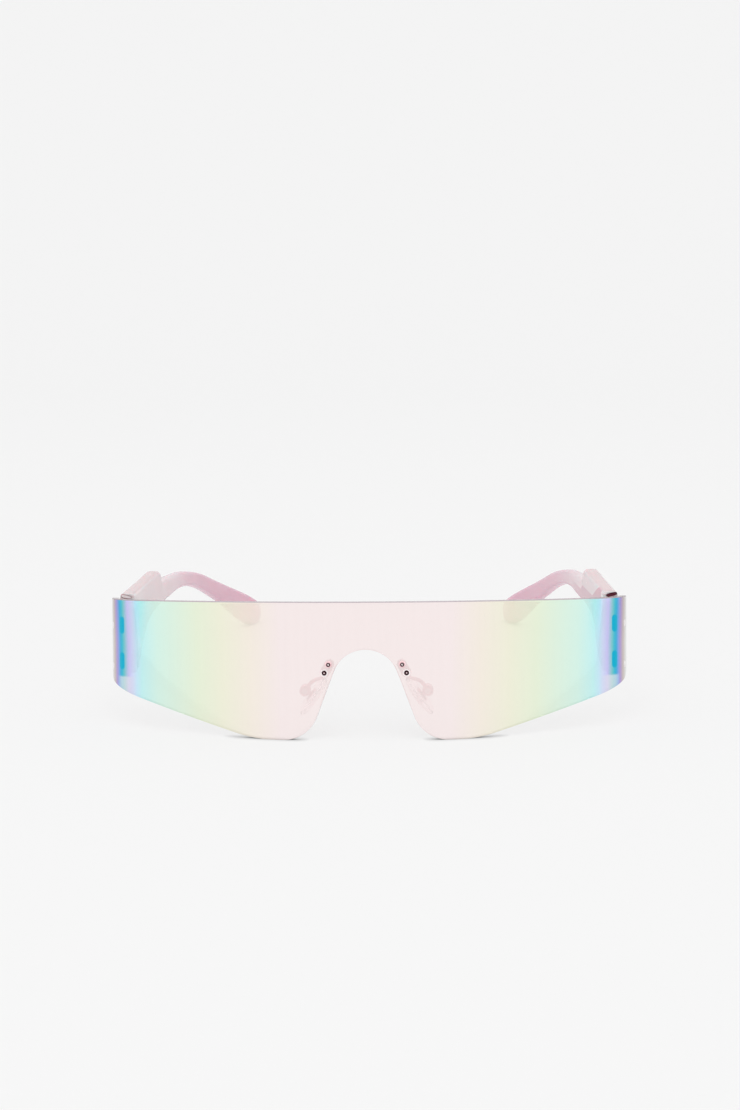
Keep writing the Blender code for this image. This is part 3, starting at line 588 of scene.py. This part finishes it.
# Point at arc length s, height h up the face and a depth behind it: the two arcs in plan give x and y,
# the depth moves it inwards along the radius, and the lean turns y and h about the table line
def onLens(s, h, depth):
    angle = planAngle(s)
    r1 = lensDims["mainRadius"]
    r2 = lensDims["endRadius"]
    a1 = lensDims["mainAngle"]
    wrapped = np.abs(s) > lensBreak
    x = np.where(wrapped, (r1 - r2) * math.sin(a1) + r2 * np.sin(angle), r1 * np.sin(angle))
    y = np.where(wrapped, r1 - (r1 - r2) * math.cos(a1) - r2 * np.cos(angle), r1 * (1 - np.cos(angle)))
    x = np.sign(s) * (x - depth * np.sin(angle))
    y = y + depth * np.cos(angle)
    lean = lensDims["lean"]
    back = y * math.cos(lean) + h * math.sin(lean)
    up = h * math.cos(lean) - y * math.sin(lean) + lensDims["lift"]
    return np.stack([x, back + frameShift, np.maximum(up, 0)], -1)


# Points (s, h) and outward normals along an arc, angles from straight down
def edgeArc(s, h, radius, start, end, steps, outwards=1):
    turn = np.linspace(start, end, steps + 1)
    a = np.sin(turn)
    b = -np.cos(turn)
    return np.stack([s + radius * a, h + radius * b, outwards * a, outwards * b], -1)


# The points between two others that split the way into equal steps
def edgeLine(first, last, steps):
    share = np.linspace(0, 1, steps + 1)[1:-1, None]
    return first + share * (last - first)


# Lower edge from the notch middle outwards: arch, flank, lobe, long slope, end corner
def lowerEdge():
    d = lensDims
    flank = math.pi / 2 - d["flank"]
    lobeS = d["notchRadius"] + d["lobeRadius"] + (d["notchHeight"] - d["lobeRadius"]) * math.sin(d["flank"])
    lobeS /= math.cos(d["flank"])
    arch = edgeArc(0, d["notchHeight"], d["notchRadius"], math.pi, math.pi - flank, 40, -1)
    lobe = edgeArc(lobeS, d["lobeRadius"], d["lobeRadius"], -flank, 0, 36)
    sweep = edgeArc(lobeS + d["bottomFlat"], d["bottomRadius"], d["bottomRadius"], 0, d["slope"], 18)
    centreS = lensHalf - d["endCorner"]
    touchS = centreS + d["endCorner"] * math.sin(d["slope"])
    touchH = sweep[-1, 1] + (touchS - sweep[-1, 0]) * math.tan(d["slope"])
    centreH = touchH + d["endCorner"] * math.cos(d["slope"])
    corner = edgeArc(centreS, centreH, d["endCorner"], d["slope"], math.pi / 2, 36)
    bend = sweep[-1].copy()
    bend[0] = lensBreak
    bend[1] = sweep[-1, 1] + (lensBreak - sweep[-1, 0]) * math.tan(d["slope"])
    return np.concatenate([
        arch, edgeLine(arch[-1], lobe[0], 14), lobe, sweep,
        edgeLine(sweep[-1], bend, 36), bend[None], edgeLine(bend, corner[0], 48), corner,
    ])


# Upper edge (s, h) and outward normals: level, with a quarter round down at the end
def upperEdge(s):
    start = lensHalf - lensDims["topCorner"]
    a = np.clip((s - start) / lensDims["topCorner"], 0, 1)
    b = np.sqrt(1 - a * a)
    h = lensDims["height"] - lensDims["topCorner"] * (1 - b)
    return np.stack([s, h, a, b], -1)


# Cross-section loop as (share up the face, inset, depth, material of the strip that starts there):
# both faces with support rows, joined by quarter rounds at the top and bottom edges
def lensLoop():
    r = lensDims["round"]
    t = lensDims["thickness"]
    turn = np.linspace(0, math.pi / 2, 5)
    front = [(share, r, 0, 0) for share in (0, 0.012, 0.25, 0.5, 0.75, 0.988)]
    top = [(1, r - r * math.sin(a), r - r * math.cos(a), 3) for a in turn]
    top += [(1, r - r * math.cos(a), t - r + r * math.sin(a), 3) for a in turn[:-1]]
    back = [(1, r, t, 1)] + [(share, r, t, 1) for share in (0.988, 0.75, 0.5, 0.25, 0.012)]
    low = [(0, r - r * math.sin(a), t - r + r * math.cos(a), 2) for a in turn]
    low += [(0, r - r * math.cos(a), r - r * math.sin(a), 0) for a in turn[:-1]]
    return front + top + back + low


# Line down the middle of a nose screw or bush: its front point, its direction and its length
def noseAxis(node, side):
    angle = side * lensDims["noseArc"] / lensDims["mainRadius"]
    lean = lensDims["lean"]
    across, back = math.sin(angle), math.cos(angle)
    axis = np.array((-across, back * math.cos(lean), -back * math.sin(lean)))
    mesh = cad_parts[node].data
    points = np.empty(len(mesh.vertices) * 3)
    mesh.vertices.foreach_get("co", points)
    points = points.reshape(-1, 3)
    along = points @ axis
    first = points[along < along.min() + lensDims["frontDepth"]]
    middle = (first.min(0) + first.max(0)) / 2
    return Vector(middle), Vector(axis), along.max() - along.min()


# The section loop is carried along the outline: each row's point lies at its share of the way from
# the lower to the upper edge, drawn in by its inset, at its depth behind the outer face
def buildLens(materials):
    d = lensDims
    low = lowerEdge()
    low = np.concatenate([low[:0:-1] * [-1, 1, -1, 1], low])
    top = upperEdge(np.abs(low[:, 0]))
    top[:, 0] = low[:, 0]
    top[:, 2] *= np.sign(low[:, 0])
    loop = lensLoop()
    rings = []
    flat = []
    for share, inset, depth, slot in loop:
        lowPoint = low[:, :2] - inset * low[:, 2:]
        topPoint = top[:, :2] - inset * top[:, 2:]
        place = lowPoint + share * (topPoint - lowPoint)
        rings.append(onLens(place[:, 0], place[:, 1], depth))
        flat.append(place)
    points = np.stack(rings, 1)
    flat = np.stack(flat, 1)
    columns, count = points.shape[:2]
    faces = gridFaces(columns, count, True).tolist()
    slots = [row[3] for row in loop] * (columns - 1)
    faces += [list(range(count)), list(range((columns - 1) * count, columns * count))]
    slots += [2, 2]
    lens = meshPiece("lens_shield", points, faces, materials, 40, slots)
    uv = lens.data.uv_layers.new(name="arc")
    corner = np.empty(len(lens.data.loops), np.int32)
    lens.data.loops.foreach_get("vertex_index", corner)
    arc = flat.reshape(-1, 2)[corner]
    values = np.stack([(arc[:, 0] / lensHalf + 1) / 2, arc[:, 1] / d["height"]], -1)
    uv.data.foreach_set("uv", values.astype(np.float32).ravel())
    steps = []
    rims = []
    for word, side in (("left", -1), ("right", 1)):
        for node in (f"nose_screw_{word}", f"pin_bush_{word}"):
            place, axis, length = noseAxis(node, side)
            hole = cylinderCutter(place + axis * length / 2, axis, d["pinHole"], d["holeRun"])
            steps.append(("DIFFERENCE", hole))
            if node.startswith("pin"):
                rims.append(("DIFFERENCE", cylinderCutter(place, axis, d["rimRadius"], d["rimDeep"])))
    carve(lens, steps)
    carve(lens, rims, 40, rimMaterial())
    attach(lens, "front")
    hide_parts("lens")
    return lens


# Temples: shares of reach, top height and half span. They are those of the solid, but behind the block
# the arm lies a little lower

templeDims = {
    "top": 36.2 * mm, "halfSpan": lensHalfWidth - lensDims["thickness"] - hingeDims["sideGap"],
    "thickness": 4.4 * mm, "corner": 1.3 * mm, "lowCorner": 1.6 * mm, "endRound": 4.2 * mm, "endNarrow": 0.17,
    "frontRound": 0.6 * mm, "knuckleRadius": 2.2 * mm, "relief": 0.4 * mm,
    "knuckleLow": 18.7 * mm, "knuckleTop": 24.4 * mm, "reliefTop": 31.7 * mm,
    "screwHole": 0.7 * mm, "screwHoleTop": 31 * mm,
    "recessWide": 3.2 * mm, "recessHigh": 1.1 * mm, "recessMiddle": 35.05 * mm, "recessDeep": 0.7 * mm,
    "recessOut": 0.35 * mm, "recessTilt": math.radians(11),
    "islandWide": 0.9, "islandHigh": 0.7, "islandLong": 1.2 * mm, "sharp": 34,
}
topShares = [
    (0, 0.995), (0.12, 1.013), (0.213, 1.030), (0.222, 1.018), (0.231, 0.960), (0.246, 0.928),
    (0.270, 0.918), (0.296, 0.912), (0.339, 0.897), (0.397, 0.876), (0.469, 0.848), (0.542, 0.800),
    (0.628, 0.724), (0.715, 0.612), (0.801, 0.492), (0.888, 0.367), (0.946, 0.271), (0.986, 0.180),
    (1.0, 0.104),
]
lowShares = [
    (0, 0.350), (0.018, 0.362), (0.038, 0.420), (0.060, 0.500), (0.085, 0.580), (0.115, 0.652),
    (0.155, 0.704), (0.21, 0.730), (0.296, 0.738), (0.383, 0.735), (0.469, 0.711), (0.542, 0.669),
    (0.628, 0.583), (0.715, 0.452), (0.801, 0.300), (0.859, 0.175), (0.910, 0.061), (0.946, 0.006),
    (0.964, -0.004), (0.989, 0.033), (1.0, 0.084),
]
outerShares = [(0, 1.0), (0.253, 0.940), (0.542, 0.879), (0.715, 0.8097), (0.859, 0.729), (1.0, 0.6307)]
thicknessShares = [(0, 1.0), (0.296, 0.955), (0.542, 0.818), (1.0, 0.818)]


# Monotone cubic through share points, so the curve never overshoots them
def smoothShares(shares, at):
    x, y = np.array(shares, float).T
    step = np.diff(x)
    slope = np.diff(y) / step
    tangent = np.zeros(len(x))
    tangent[0] = slope[0]
    tangent[-1] = slope[-1]
    for i in range(1, len(x) - 1):
        if slope[i - 1] * slope[i] > 0:
            first = 2 * step[i] + step[i - 1]
            second = step[i] + 2 * step[i - 1]
            tangent[i] = (first + second) / (first / slope[i - 1] + second / slope[i])
    i = np.clip(np.searchsorted(x, at) - 1, 0, len(step) - 1)
    t = (at - x[i]) / step[i]
    rise = y[i] * (1 + 2 * t) * (1 - t) ** 2 + y[i + 1] * t * t * (3 - 2 * t)
    return rise + (tangent[i] * t * (1 - t) ** 2 - tangent[i + 1] * t * t * (1 - t)) * step[i]


# Rows of rounded rectangles carried along y: the shares give each one's top, bottom, outer side and
# width, and the back end narrows as the root of (1 - past squared)
def templeGrid(side):
    d = templeDims
    # Rows lie closer together at the block, at the step behind it and at the tip
    u = np.unique(np.concatenate([
        np.linspace(0, 1, 150), np.linspace(0, 0.16, 70), np.linspace(0.19, 0.31, 60),
        1 - 0.036 * np.linspace(0, 1, 30) ** 2,
    ]))
    # The front end is rounded over: its first rows stand in by r(1 - sin a) and back by r(1 - cos a)
    turn = np.linspace(0, math.pi / 2, 6)[:-1]
    frontRound = d["frontRound"]
    u = np.concatenate([frontRound * (1 - np.cos(turn)) / templeReach, u[u * templeReach > frontRound]])
    inset = np.zeros(len(u))
    inset[:len(turn)] = frontRound * (1 - np.sin(turn))
    y = templeFront + templeReach * u
    top = d["top"] * smoothShares(topShares, u)
    low = d["top"] * smoothShares(lowShares, u)
    outer = d["halfSpan"] * smoothShares(outerShares, u)
    wide = d["thickness"] * smoothShares(thicknessShares, u)
    middle = outer - wide / 2
    past = np.clip((y - (templeFront + templeReach - d["endRound"])) / d["endRound"], 0, 1)
    wide = wide * np.maximum(d["endNarrow"], np.sqrt(1 - past ** 2)) - 2 * inset
    halfHigh = (top - low) / 2 - inset
    columns = []
    # Each corner's side in x and z, its first angle in half turns and its radius
    corners = (
        (1, -1, -0.5, d["lowCorner"]), (1, 1, 0, d["corner"]), (-1, 1, 0.5, d["corner"]),
        (-1, -1, 1, d["corner"]),
    )
    for signX, signZ, start, wanted in corners:
        radius = np.minimum(np.minimum(wanted, 0.45 * wide), 0.9 * halfHigh)
        for share in np.linspace(0, 0.5, 8):
            turn = math.pi * (start + share)
            across = signX * (wide / 2 - radius) + radius * math.cos(turn)
            upward = signZ * (halfHigh - radius) + radius * math.sin(turn)
            level = np.maximum((top + low) / 2 + upward, 0)
            columns.append(np.stack([side * (middle + across), y + frameShift, level], -1))
    return np.stack(columns, 1)


# An oval well in the front end, above the hinge: a superellipse in x and z, tilted up to the
# outside and carried along y from one depth to another
def recessCutter(side, wide=1.0, high=1.0, first=-1 * mm, last=None):
    d = templeDims
    turn = np.linspace(0, 2 * math.pi, 48, endpoint=False)
    x = wide * d["recessWide"] / 2 * np.sign(np.cos(turn)) * np.abs(np.cos(turn)) ** 0.7
    z = high * d["recessHigh"] / 2 * np.sign(np.sin(turn)) * np.abs(np.sin(turn)) ** 0.8
    tilt = side * d["recessTilt"]
    middle = side * (d["halfSpan"] - d["thickness"] / 2 + d["recessOut"])
    across = middle + x * math.cos(tilt) - z * math.sin(tilt)
    upward = d["recessMiddle"] + x * math.sin(tilt) + z * math.cos(tilt)
    front = templeFront + frameShift
    rings = []
    for depth in (first, d["recessDeep"] if last is None else last):
        rings.append(np.stack([across, np.full(len(turn), front + depth), upward], -1))
    count = len(turn)
    faces = gridFaces(2, count, True).tolist() + [list(range(count)), list(range(count, 2 * count))]
    return np.concatenate(rings), faces


# Glossy floor of a moulded well, in a colour of painted light or shade: dark where the well is painted as in
# shadow, pale where it is painted as lit
def recessMaterial(name, color):
    material, tree, shader = newMaterial(name)
    noise = addNoise(tree, 1500)
    roughnessSpan(tree, shader, noise, 0.2, 0.35)
    setShader(shader, Base_Color=linearColor(color), IOR=1.53, Coat_Weight=0.4, Coat_Roughness=0.08)
    return material


# The shell with its hinge knuckle joined on, the room round it cut away, the screw hole and the well,
# whose middle stands up again where an island material is given
def buildTemple(word, side, material, recess, island=None):
    d = templeDims
    grid = templeGrid(side)
    rows, count = grid.shape[:2]
    faces = gridFaces(rows, count, True).tolist()
    faces += [list(range(count)), list(range((rows - 1) * count, rows * count))]
    temple = meshPiece(f"temple_{word}_shell", grid, faces, [material], d["sharp"])
    place = Vector((side * pivotX, pivotY + frameShift, 0))
    up = Vector((0, 0, 1))

    def post(radius, low, high):
        return cylinderCutter(place + up * (low + high) / 2, up, radius, high - low, 64)

    relief = d["knuckleRadius"] + d["relief"]
    carve(temple, [
        ("UNION", post(d["knuckleRadius"], d["knuckleLow"] - d["relief"], d["knuckleTop"] + d["relief"])),
        ("DIFFERENCE", post(relief, 0, d["knuckleLow"])),
        ("DIFFERENCE", post(relief, d["knuckleTop"], d["reliefTop"])),
        ("DIFFERENCE", post(d["screwHole"], 0, d["screwHoleTop"])),
    ], d["sharp"])
    carve(temple, [("DIFFERENCE", recessCutter(side))], d["sharp"], recess)
    # On the left a pale plug stands up in the well as a painted highlight
    if island:
        middle = recessCutter(side, d["islandWide"], d["islandHigh"], 0, d["islandLong"])
        carve(temple, [("UNION", middle)], d["sharp"], island)
    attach(temple, f"temple_{word}_arm")
    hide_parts(f"temple_{word}")
    return temple


# Nose screw: a lathe profile of (radius, distance behind the crown, material) carried round its axis,
# with a dished middle, a dark ring, a pale rim and a cut slot
noseScrewDims = {
    "rings": [
        (0, 0.03, 0), (0.20, 0.03, 0), (0.27, 0.03, 1), (0.31, 0.06, 1), (0.56, 0.07, 1), (0.60, 0.03, 2),
        (0.61, 0.005, 2), (0.66, 0, 2), (0.73, 0.02, 2), (0.78, 0.09, 2), (0.78, 0.40, 0), (0.60, 0.40, 0),
    ],
    "shank": 0.60, "steps": 64, "slotWide": 0.13 * mm, "slotLong": 1.0 * mm, "slotDeep": 0.14 * mm,
    "slotOver": 0.3 * mm, "slotTurn": {-1: math.radians(35), 1: math.radians(-20)},
}


def buildNoseScrew(word, side, materials):
    node = f"nose_screw_{word}"
    place, axis, length = noseAxis(node, side)
    d = noseScrewDims
    rings = d["rings"] + [(d["shank"], length / mm, 0), (0, length / mm, 0)]
    radii = np.array([ring[0] for ring in rings]) * mm
    depths = np.array([ring[1] for ring in rings]) * mm
    turn = np.linspace(0, 2 * math.pi, d["steps"], endpoint=False)
    across = np.array(axis.orthogonal().normalized())
    second = np.cross(np.array(axis), across)
    rim = np.outer(np.cos(turn), across) + np.outer(np.sin(turn), second)
    points = np.array(place) + depths[:, None, None] * np.array(axis) + radii[:, None, None] * rim[None]
    faces = gridFaces(len(rings), d["steps"], True)
    slots = np.repeat([ring[2] for ring in rings[:-1]], d["steps"])
    screw = meshPiece(node + "_turned", points, faces, materials, 30, slots)
    work = bmesh.new()
    work.from_mesh(screw.data)
    bmesh.ops.remove_doubles(work, verts=work.verts, dist=0.0001 * mm)
    bmesh.ops.recalc_face_normals(work, faces=work.faces)
    work.to_mesh(screw.data)
    work.free()
    turned = d["slotTurn"][side]
    alongSlot = across * math.cos(turned) + second * math.sin(turned)
    overSlot = np.cross(np.array(axis), alongSlot)
    corners = []
    for depth in (-d["slotOver"], d["slotDeep"]):
        level = np.array(place) + depth * np.array(axis)
        for a, b in ((-1, -1), (1, -1), (1, 1), (-1, 1)):
            corners.append(level + a * d["slotLong"] / 2 * alongSlot + b * d["slotWide"] / 2 * overSlot)
    box = [(0, 1, 2, 3), (4, 5, 6, 7), (0, 1, 5, 4), (1, 2, 6, 5), (2, 3, 7, 6), (3, 0, 4, 7)]
    carve(screw, [("DIFFERENCE", (corners, box))], 30, materials[1])
    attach(screw, "front")
    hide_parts(node)
    return screw


# A fresh smooth copy of a small CAD node with a fine edge round
def refine(node, body, material, width, segments=2):
    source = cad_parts[node]
    mesh = source.data.copy()
    mesh.materials.clear()
    mesh.materials.append(material)
    piece = bpy.data.objects.new(node + "_fine", mesh)
    bpy.context.scene.collection.objects.link(piece)
    work = bmesh.new()
    work.from_mesh(mesh)
    bmesh.ops.remove_doubles(work, verts=work.verts, dist=0.000002)
    bmesh.ops.dissolve_limit(work, angle_limit=math.radians(1.5), verts=work.verts, edges=work.edges)
    work.to_mesh(mesh)
    work.free()
    mesh.polygons.foreach_set("use_smooth", np.ones(len(mesh.polygons), bool))
    mesh.set_sharp_from_angle(angle=math.radians(35))
    if width:
        bevel = piece.modifiers.new("edge", "BEVEL")
        bevel.width = width
        bevel.segments = segments
        bevel.limit_method = "ANGLE"
        bevel.angle_limit = math.radians(40)
    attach(piece, body)
    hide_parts(node)
    return piece


# The pin through the lens has a dark end with a painted highlight at its centre: faces in front of the
# middle of the lens take the dark material, and a shallow round mark drilled into them takes the pale one as
# a glint
pinMark = {"radius": 0.19 * mm, "drill": 0.3 * mm}


def finishPin(bracket, word, side, dark, bright):
    place, axis, length = noseAxis(f"pin_bush_{word}", side)
    mesh = bracket.data
    centres = np.empty(len(mesh.polygons) * 3)
    mesh.polygons.foreach_get("center", centres)
    along = (centres.reshape(-1, 3) - np.array(place)) @ np.array(axis)
    mesh.materials.append(dark)
    mesh.polygons.foreach_set("material_index", (along < length / 2).astype(np.int32))
    mark = cylinderCutter(place, axis, pinMark["radius"], pinMark["drill"])
    # The drilled mark in the pale material is a painted glint
    carve(bracket, [("DIFFERENCE", mark)], 35, bright)


def buildHardware():
    steel = steelMaterial("plated_steel_screw", "#9a8f92")
    paleSteel = steelMaterial("pale_screw_middle_and_painted_glint", "#fdf0f0", 0.3)
    darkSteel = steelMaterial("darkened_screw_ring", "#34121c", 0.1, 1.25)
    clearSteel = steelMaterial("clear_capped_screw", "#f4f0f0", 0.2)
    palePlate = steelMaterial("rose_lacquered_rim", "#fcd3d7", 0.2)
    pinkMetal = pinkMetalMaterial()
    endPiece = endPieceMaterial()
    bush = darkBushMaterial()
    washer = washerMaterial()
    silicone = siliconeMaterial()
    core = coreMaterial()
    for word, side in (("left", -1), ("right", 1)):
        refine(f"end_piece_{word}", "front", endPiece, 0.25 * mm)
        refine(f"hinge_screw_{word}", "front", steel, 0.04 * mm, 1)
        for place in ("upper", "lower"):
            refine(f"lens_screw_{place}_{word}", "front", clearSteel, 0.04 * mm, 1)
        refine(f"pad_screw_{word}", "front", palePlate, 0.04 * mm, 1)
        buildNoseScrew(word, side, [paleSteel, darkSteel, palePlate])
        bracket = refine(f"nose_bracket_{word}", "front", pinkMetal, 0.06 * mm)
        finishPin(bracket, word, side, darkSteel, paleSteel)
        refine(f"nose_washer_{word}", "front", washer, 0.05 * mm)
        refine(f"pin_bush_{word}", "front", bush, 0.04 * mm, 1)
        refine(f"nose_pad_{word}", f"pad_{word}", silicone, 0)
        refine(f"pad_core_{word}", f"pad_{word}", core, 0.05 * mm)


# Stage: a seamless pale sweep, flat under the object and curving up behind it

stageDims = {
    "near": -1.6, "flatBack": 0.9, "radius": 0.8, "top": 2.2, "half": 3.0,
    "paper": "#ececec", "page": "#f6f6f6", "evenShare": 0.78, "contact": 2.2 * mm, "contactPower": 0.42,
}


# Matt white background paper. Seen by the camera, in gloss or through glass, part of it is an even
# pale grey; close under the object an ambient occlusion mask darkens both parts into a fine painted contact
# shadow.
def showEvenly(tree, shader, d):
    near = addNode(tree, "ShaderNodeAmbientOcclusion", {"samples": 8}, {"Distance": d["contact"]})
    line = addNode(
        tree, "ShaderNodeMath", {"operation": "POWER"}, {1: d["contactPower"]}, [(0, near, "AO")],
    )
    paper, page = [
        addNode(
            tree, "ShaderNodeVectorMath", {"operation": "SCALE"}, {"Vector": linearColor(d[name])[:3]},
            [("Scale", line, 0)],
        ) for name in ("paper", "page")
    ]
    tree.links.new(paper.outputs[0], shader.inputs["Base Color"])
    path = addNode(tree, "ShaderNodeLightPath")
    seen = addNode(
        tree, "ShaderNodeMath", {"operation": "MAXIMUM"},
        links=[(0, path, "Is Camera Ray"), (1, path, "Is Glossy Ray")],
    )
    seen = addNode(
        tree, "ShaderNodeMath", {"operation": "MAXIMUM"},
        links=[(0, seen, 0), (1, path, "Is Transmission Ray")],
    )
    amount = addNode(
        tree, "ShaderNodeMath", {"operation": "MULTIPLY"}, {1: d["evenShare"]}, [(0, seen, 0)],
    )
    even = addNode(tree, "ShaderNodeEmission", links=[("Color", page, 0)])
    mix = addNode(tree, "ShaderNodeMixShader", links=[(0, amount, 0), (1, shader, 0), (2, even, 0)])
    tree.links.new(mix.outputs[0], tree.nodes["Material Output"].inputs["Surface"])


# A profile in y and z, in metres: flat, then a quarter circle up to a wall, drawn straight along x
def buildStage():
    d = stageDims
    turn = np.linspace(0, math.pi / 2, 24)
    bend = np.stack([d["flatBack"] + d["radius"] * np.sin(turn), d["radius"] * (1 - np.cos(turn))], -1)
    path = np.concatenate([[[d["near"], 0]], bend, [[d["flatBack"] + d["radius"], d["top"]]]])
    points = np.stack([
        np.stack([np.full(len(path), x), path[:, 0], path[:, 1]], -1) for x in (-d["half"], d["half"])
    ], 1)
    material, tree, shader = newMaterial("white_sweep_paper")
    setShader(shader, Roughness=0.7, IOR=1.3)
    showEvenly(tree, shader, d)
    sweep = meshPiece("floor_sweep", points, gridFaces(len(path), 2, False), [material], 60)
    if sweep.data.polygons[0].normal.z < 0:
        sweep.data.flip_normals()


# Even white surroundings and one large soft lamp high in front
lightDims = {"around": 0.96, "energy": 5, "size": 1.2, "place": (-0.06, -0.5, 1.3)}


def buildLight():
    d = lightDims
    world = bpy.data.worlds.new("studio")
    bpy.context.scene.world = world
    world.use_nodes = True
    tree = world.node_tree
    background = tree.nodes["Background"]
    background.inputs["Color"].default_value = linearColor("#ffffff")
    background.inputs["Strength"].default_value = d["around"]
    light = bpy.data.lights.new("overhead_softbox", "AREA")
    light.energy = d["energy"]
    light.size = d["size"]
    holder = bpy.data.objects.new("overhead_softbox", light)
    holder.location = d["place"]
    aim = Vector((0, 0, 0)) - holder.location
    holder.rotation_euler = aim.to_track_quat("-Z", "Y").to_euler()
    bpy.context.scene.collection.objects.link(holder)


# Camera: fitted to the lens outline in the photograph, 740 by 1110 pixels

cameraDims = {
    "target": (1.75 * mm, 0, 52.238 * mm), "distance": 600 * mm, "azimuth": math.radians(1.917),
    "pitch": math.radians(9.717), "roll": math.radians(-0.629), "lens": 71.51, "sensor": 36,
    "clip": (0.01, 50),
}


def buildCamera():
    d = cameraDims
    az = d["azimuth"]
    pitch = d["pitch"]
    level = math.cos(pitch)
    forward = Vector((-math.sin(az) * level, math.cos(az) * level, -math.sin(pitch)))
    right = Vector((math.cos(az), math.sin(az), 0))
    up = right.cross(forward)
    rolledRight = right * math.cos(d["roll"]) + up * math.sin(d["roll"])
    rolledUp = up * math.cos(d["roll"]) - right * math.sin(d["roll"])
    data = bpy.data.cameras.new("photo_camera")
    data.sensor_width = d["sensor"]
    data.lens = d["lens"]
    data.clip_start, data.clip_end = d["clip"]
    camera = bpy.data.objects.new("photo_camera", data)
    place = Vector(d["target"]) + Vector((0, frameShift, 0)) - forward * d["distance"]
    turn = Matrix((rolledRight, rolledUp, -forward)).transposed().to_4x4()
    camera.matrix_world = Matrix.Translation(place) @ turn
    bpy.context.scene.collection.objects.link(camera)
    bpy.context.scene.camera = camera


def main():
    buildCamera()
    buildStage()
    buildLight()
    bpy.context.scene.view_settings.view_transform = "Standard"
    print("camera, stage and light")
    buildLens([mirrorMaterial(), lensBackMaterial(), lensEdgeMaterial(), lensTopMaterial()])
    print("lens")
    leftNylon = templeMaterial("milky_pink_nylon")
    # One well painted for its light: light rose with a pale plug as painted highlight on the left, dark
    # maroon as painted shadow on the right
    paintedLitWell = recessMaterial("rose_well", "#f4aab5")
    buildTemple("left", -1, leftNylon, paintedLitWell, recessMaterial("painted_highlight_core", "#fff6f7"))
    rightNylon = templeMaterial("milky_pink_nylon_painted_shade", 1)
    buildTemple("right", 1, rightNylon, recessMaterial("painted_shadow_rose_well", "#74303f"))
    print("temples")
    buildHardware()
    print("hardware")


main()
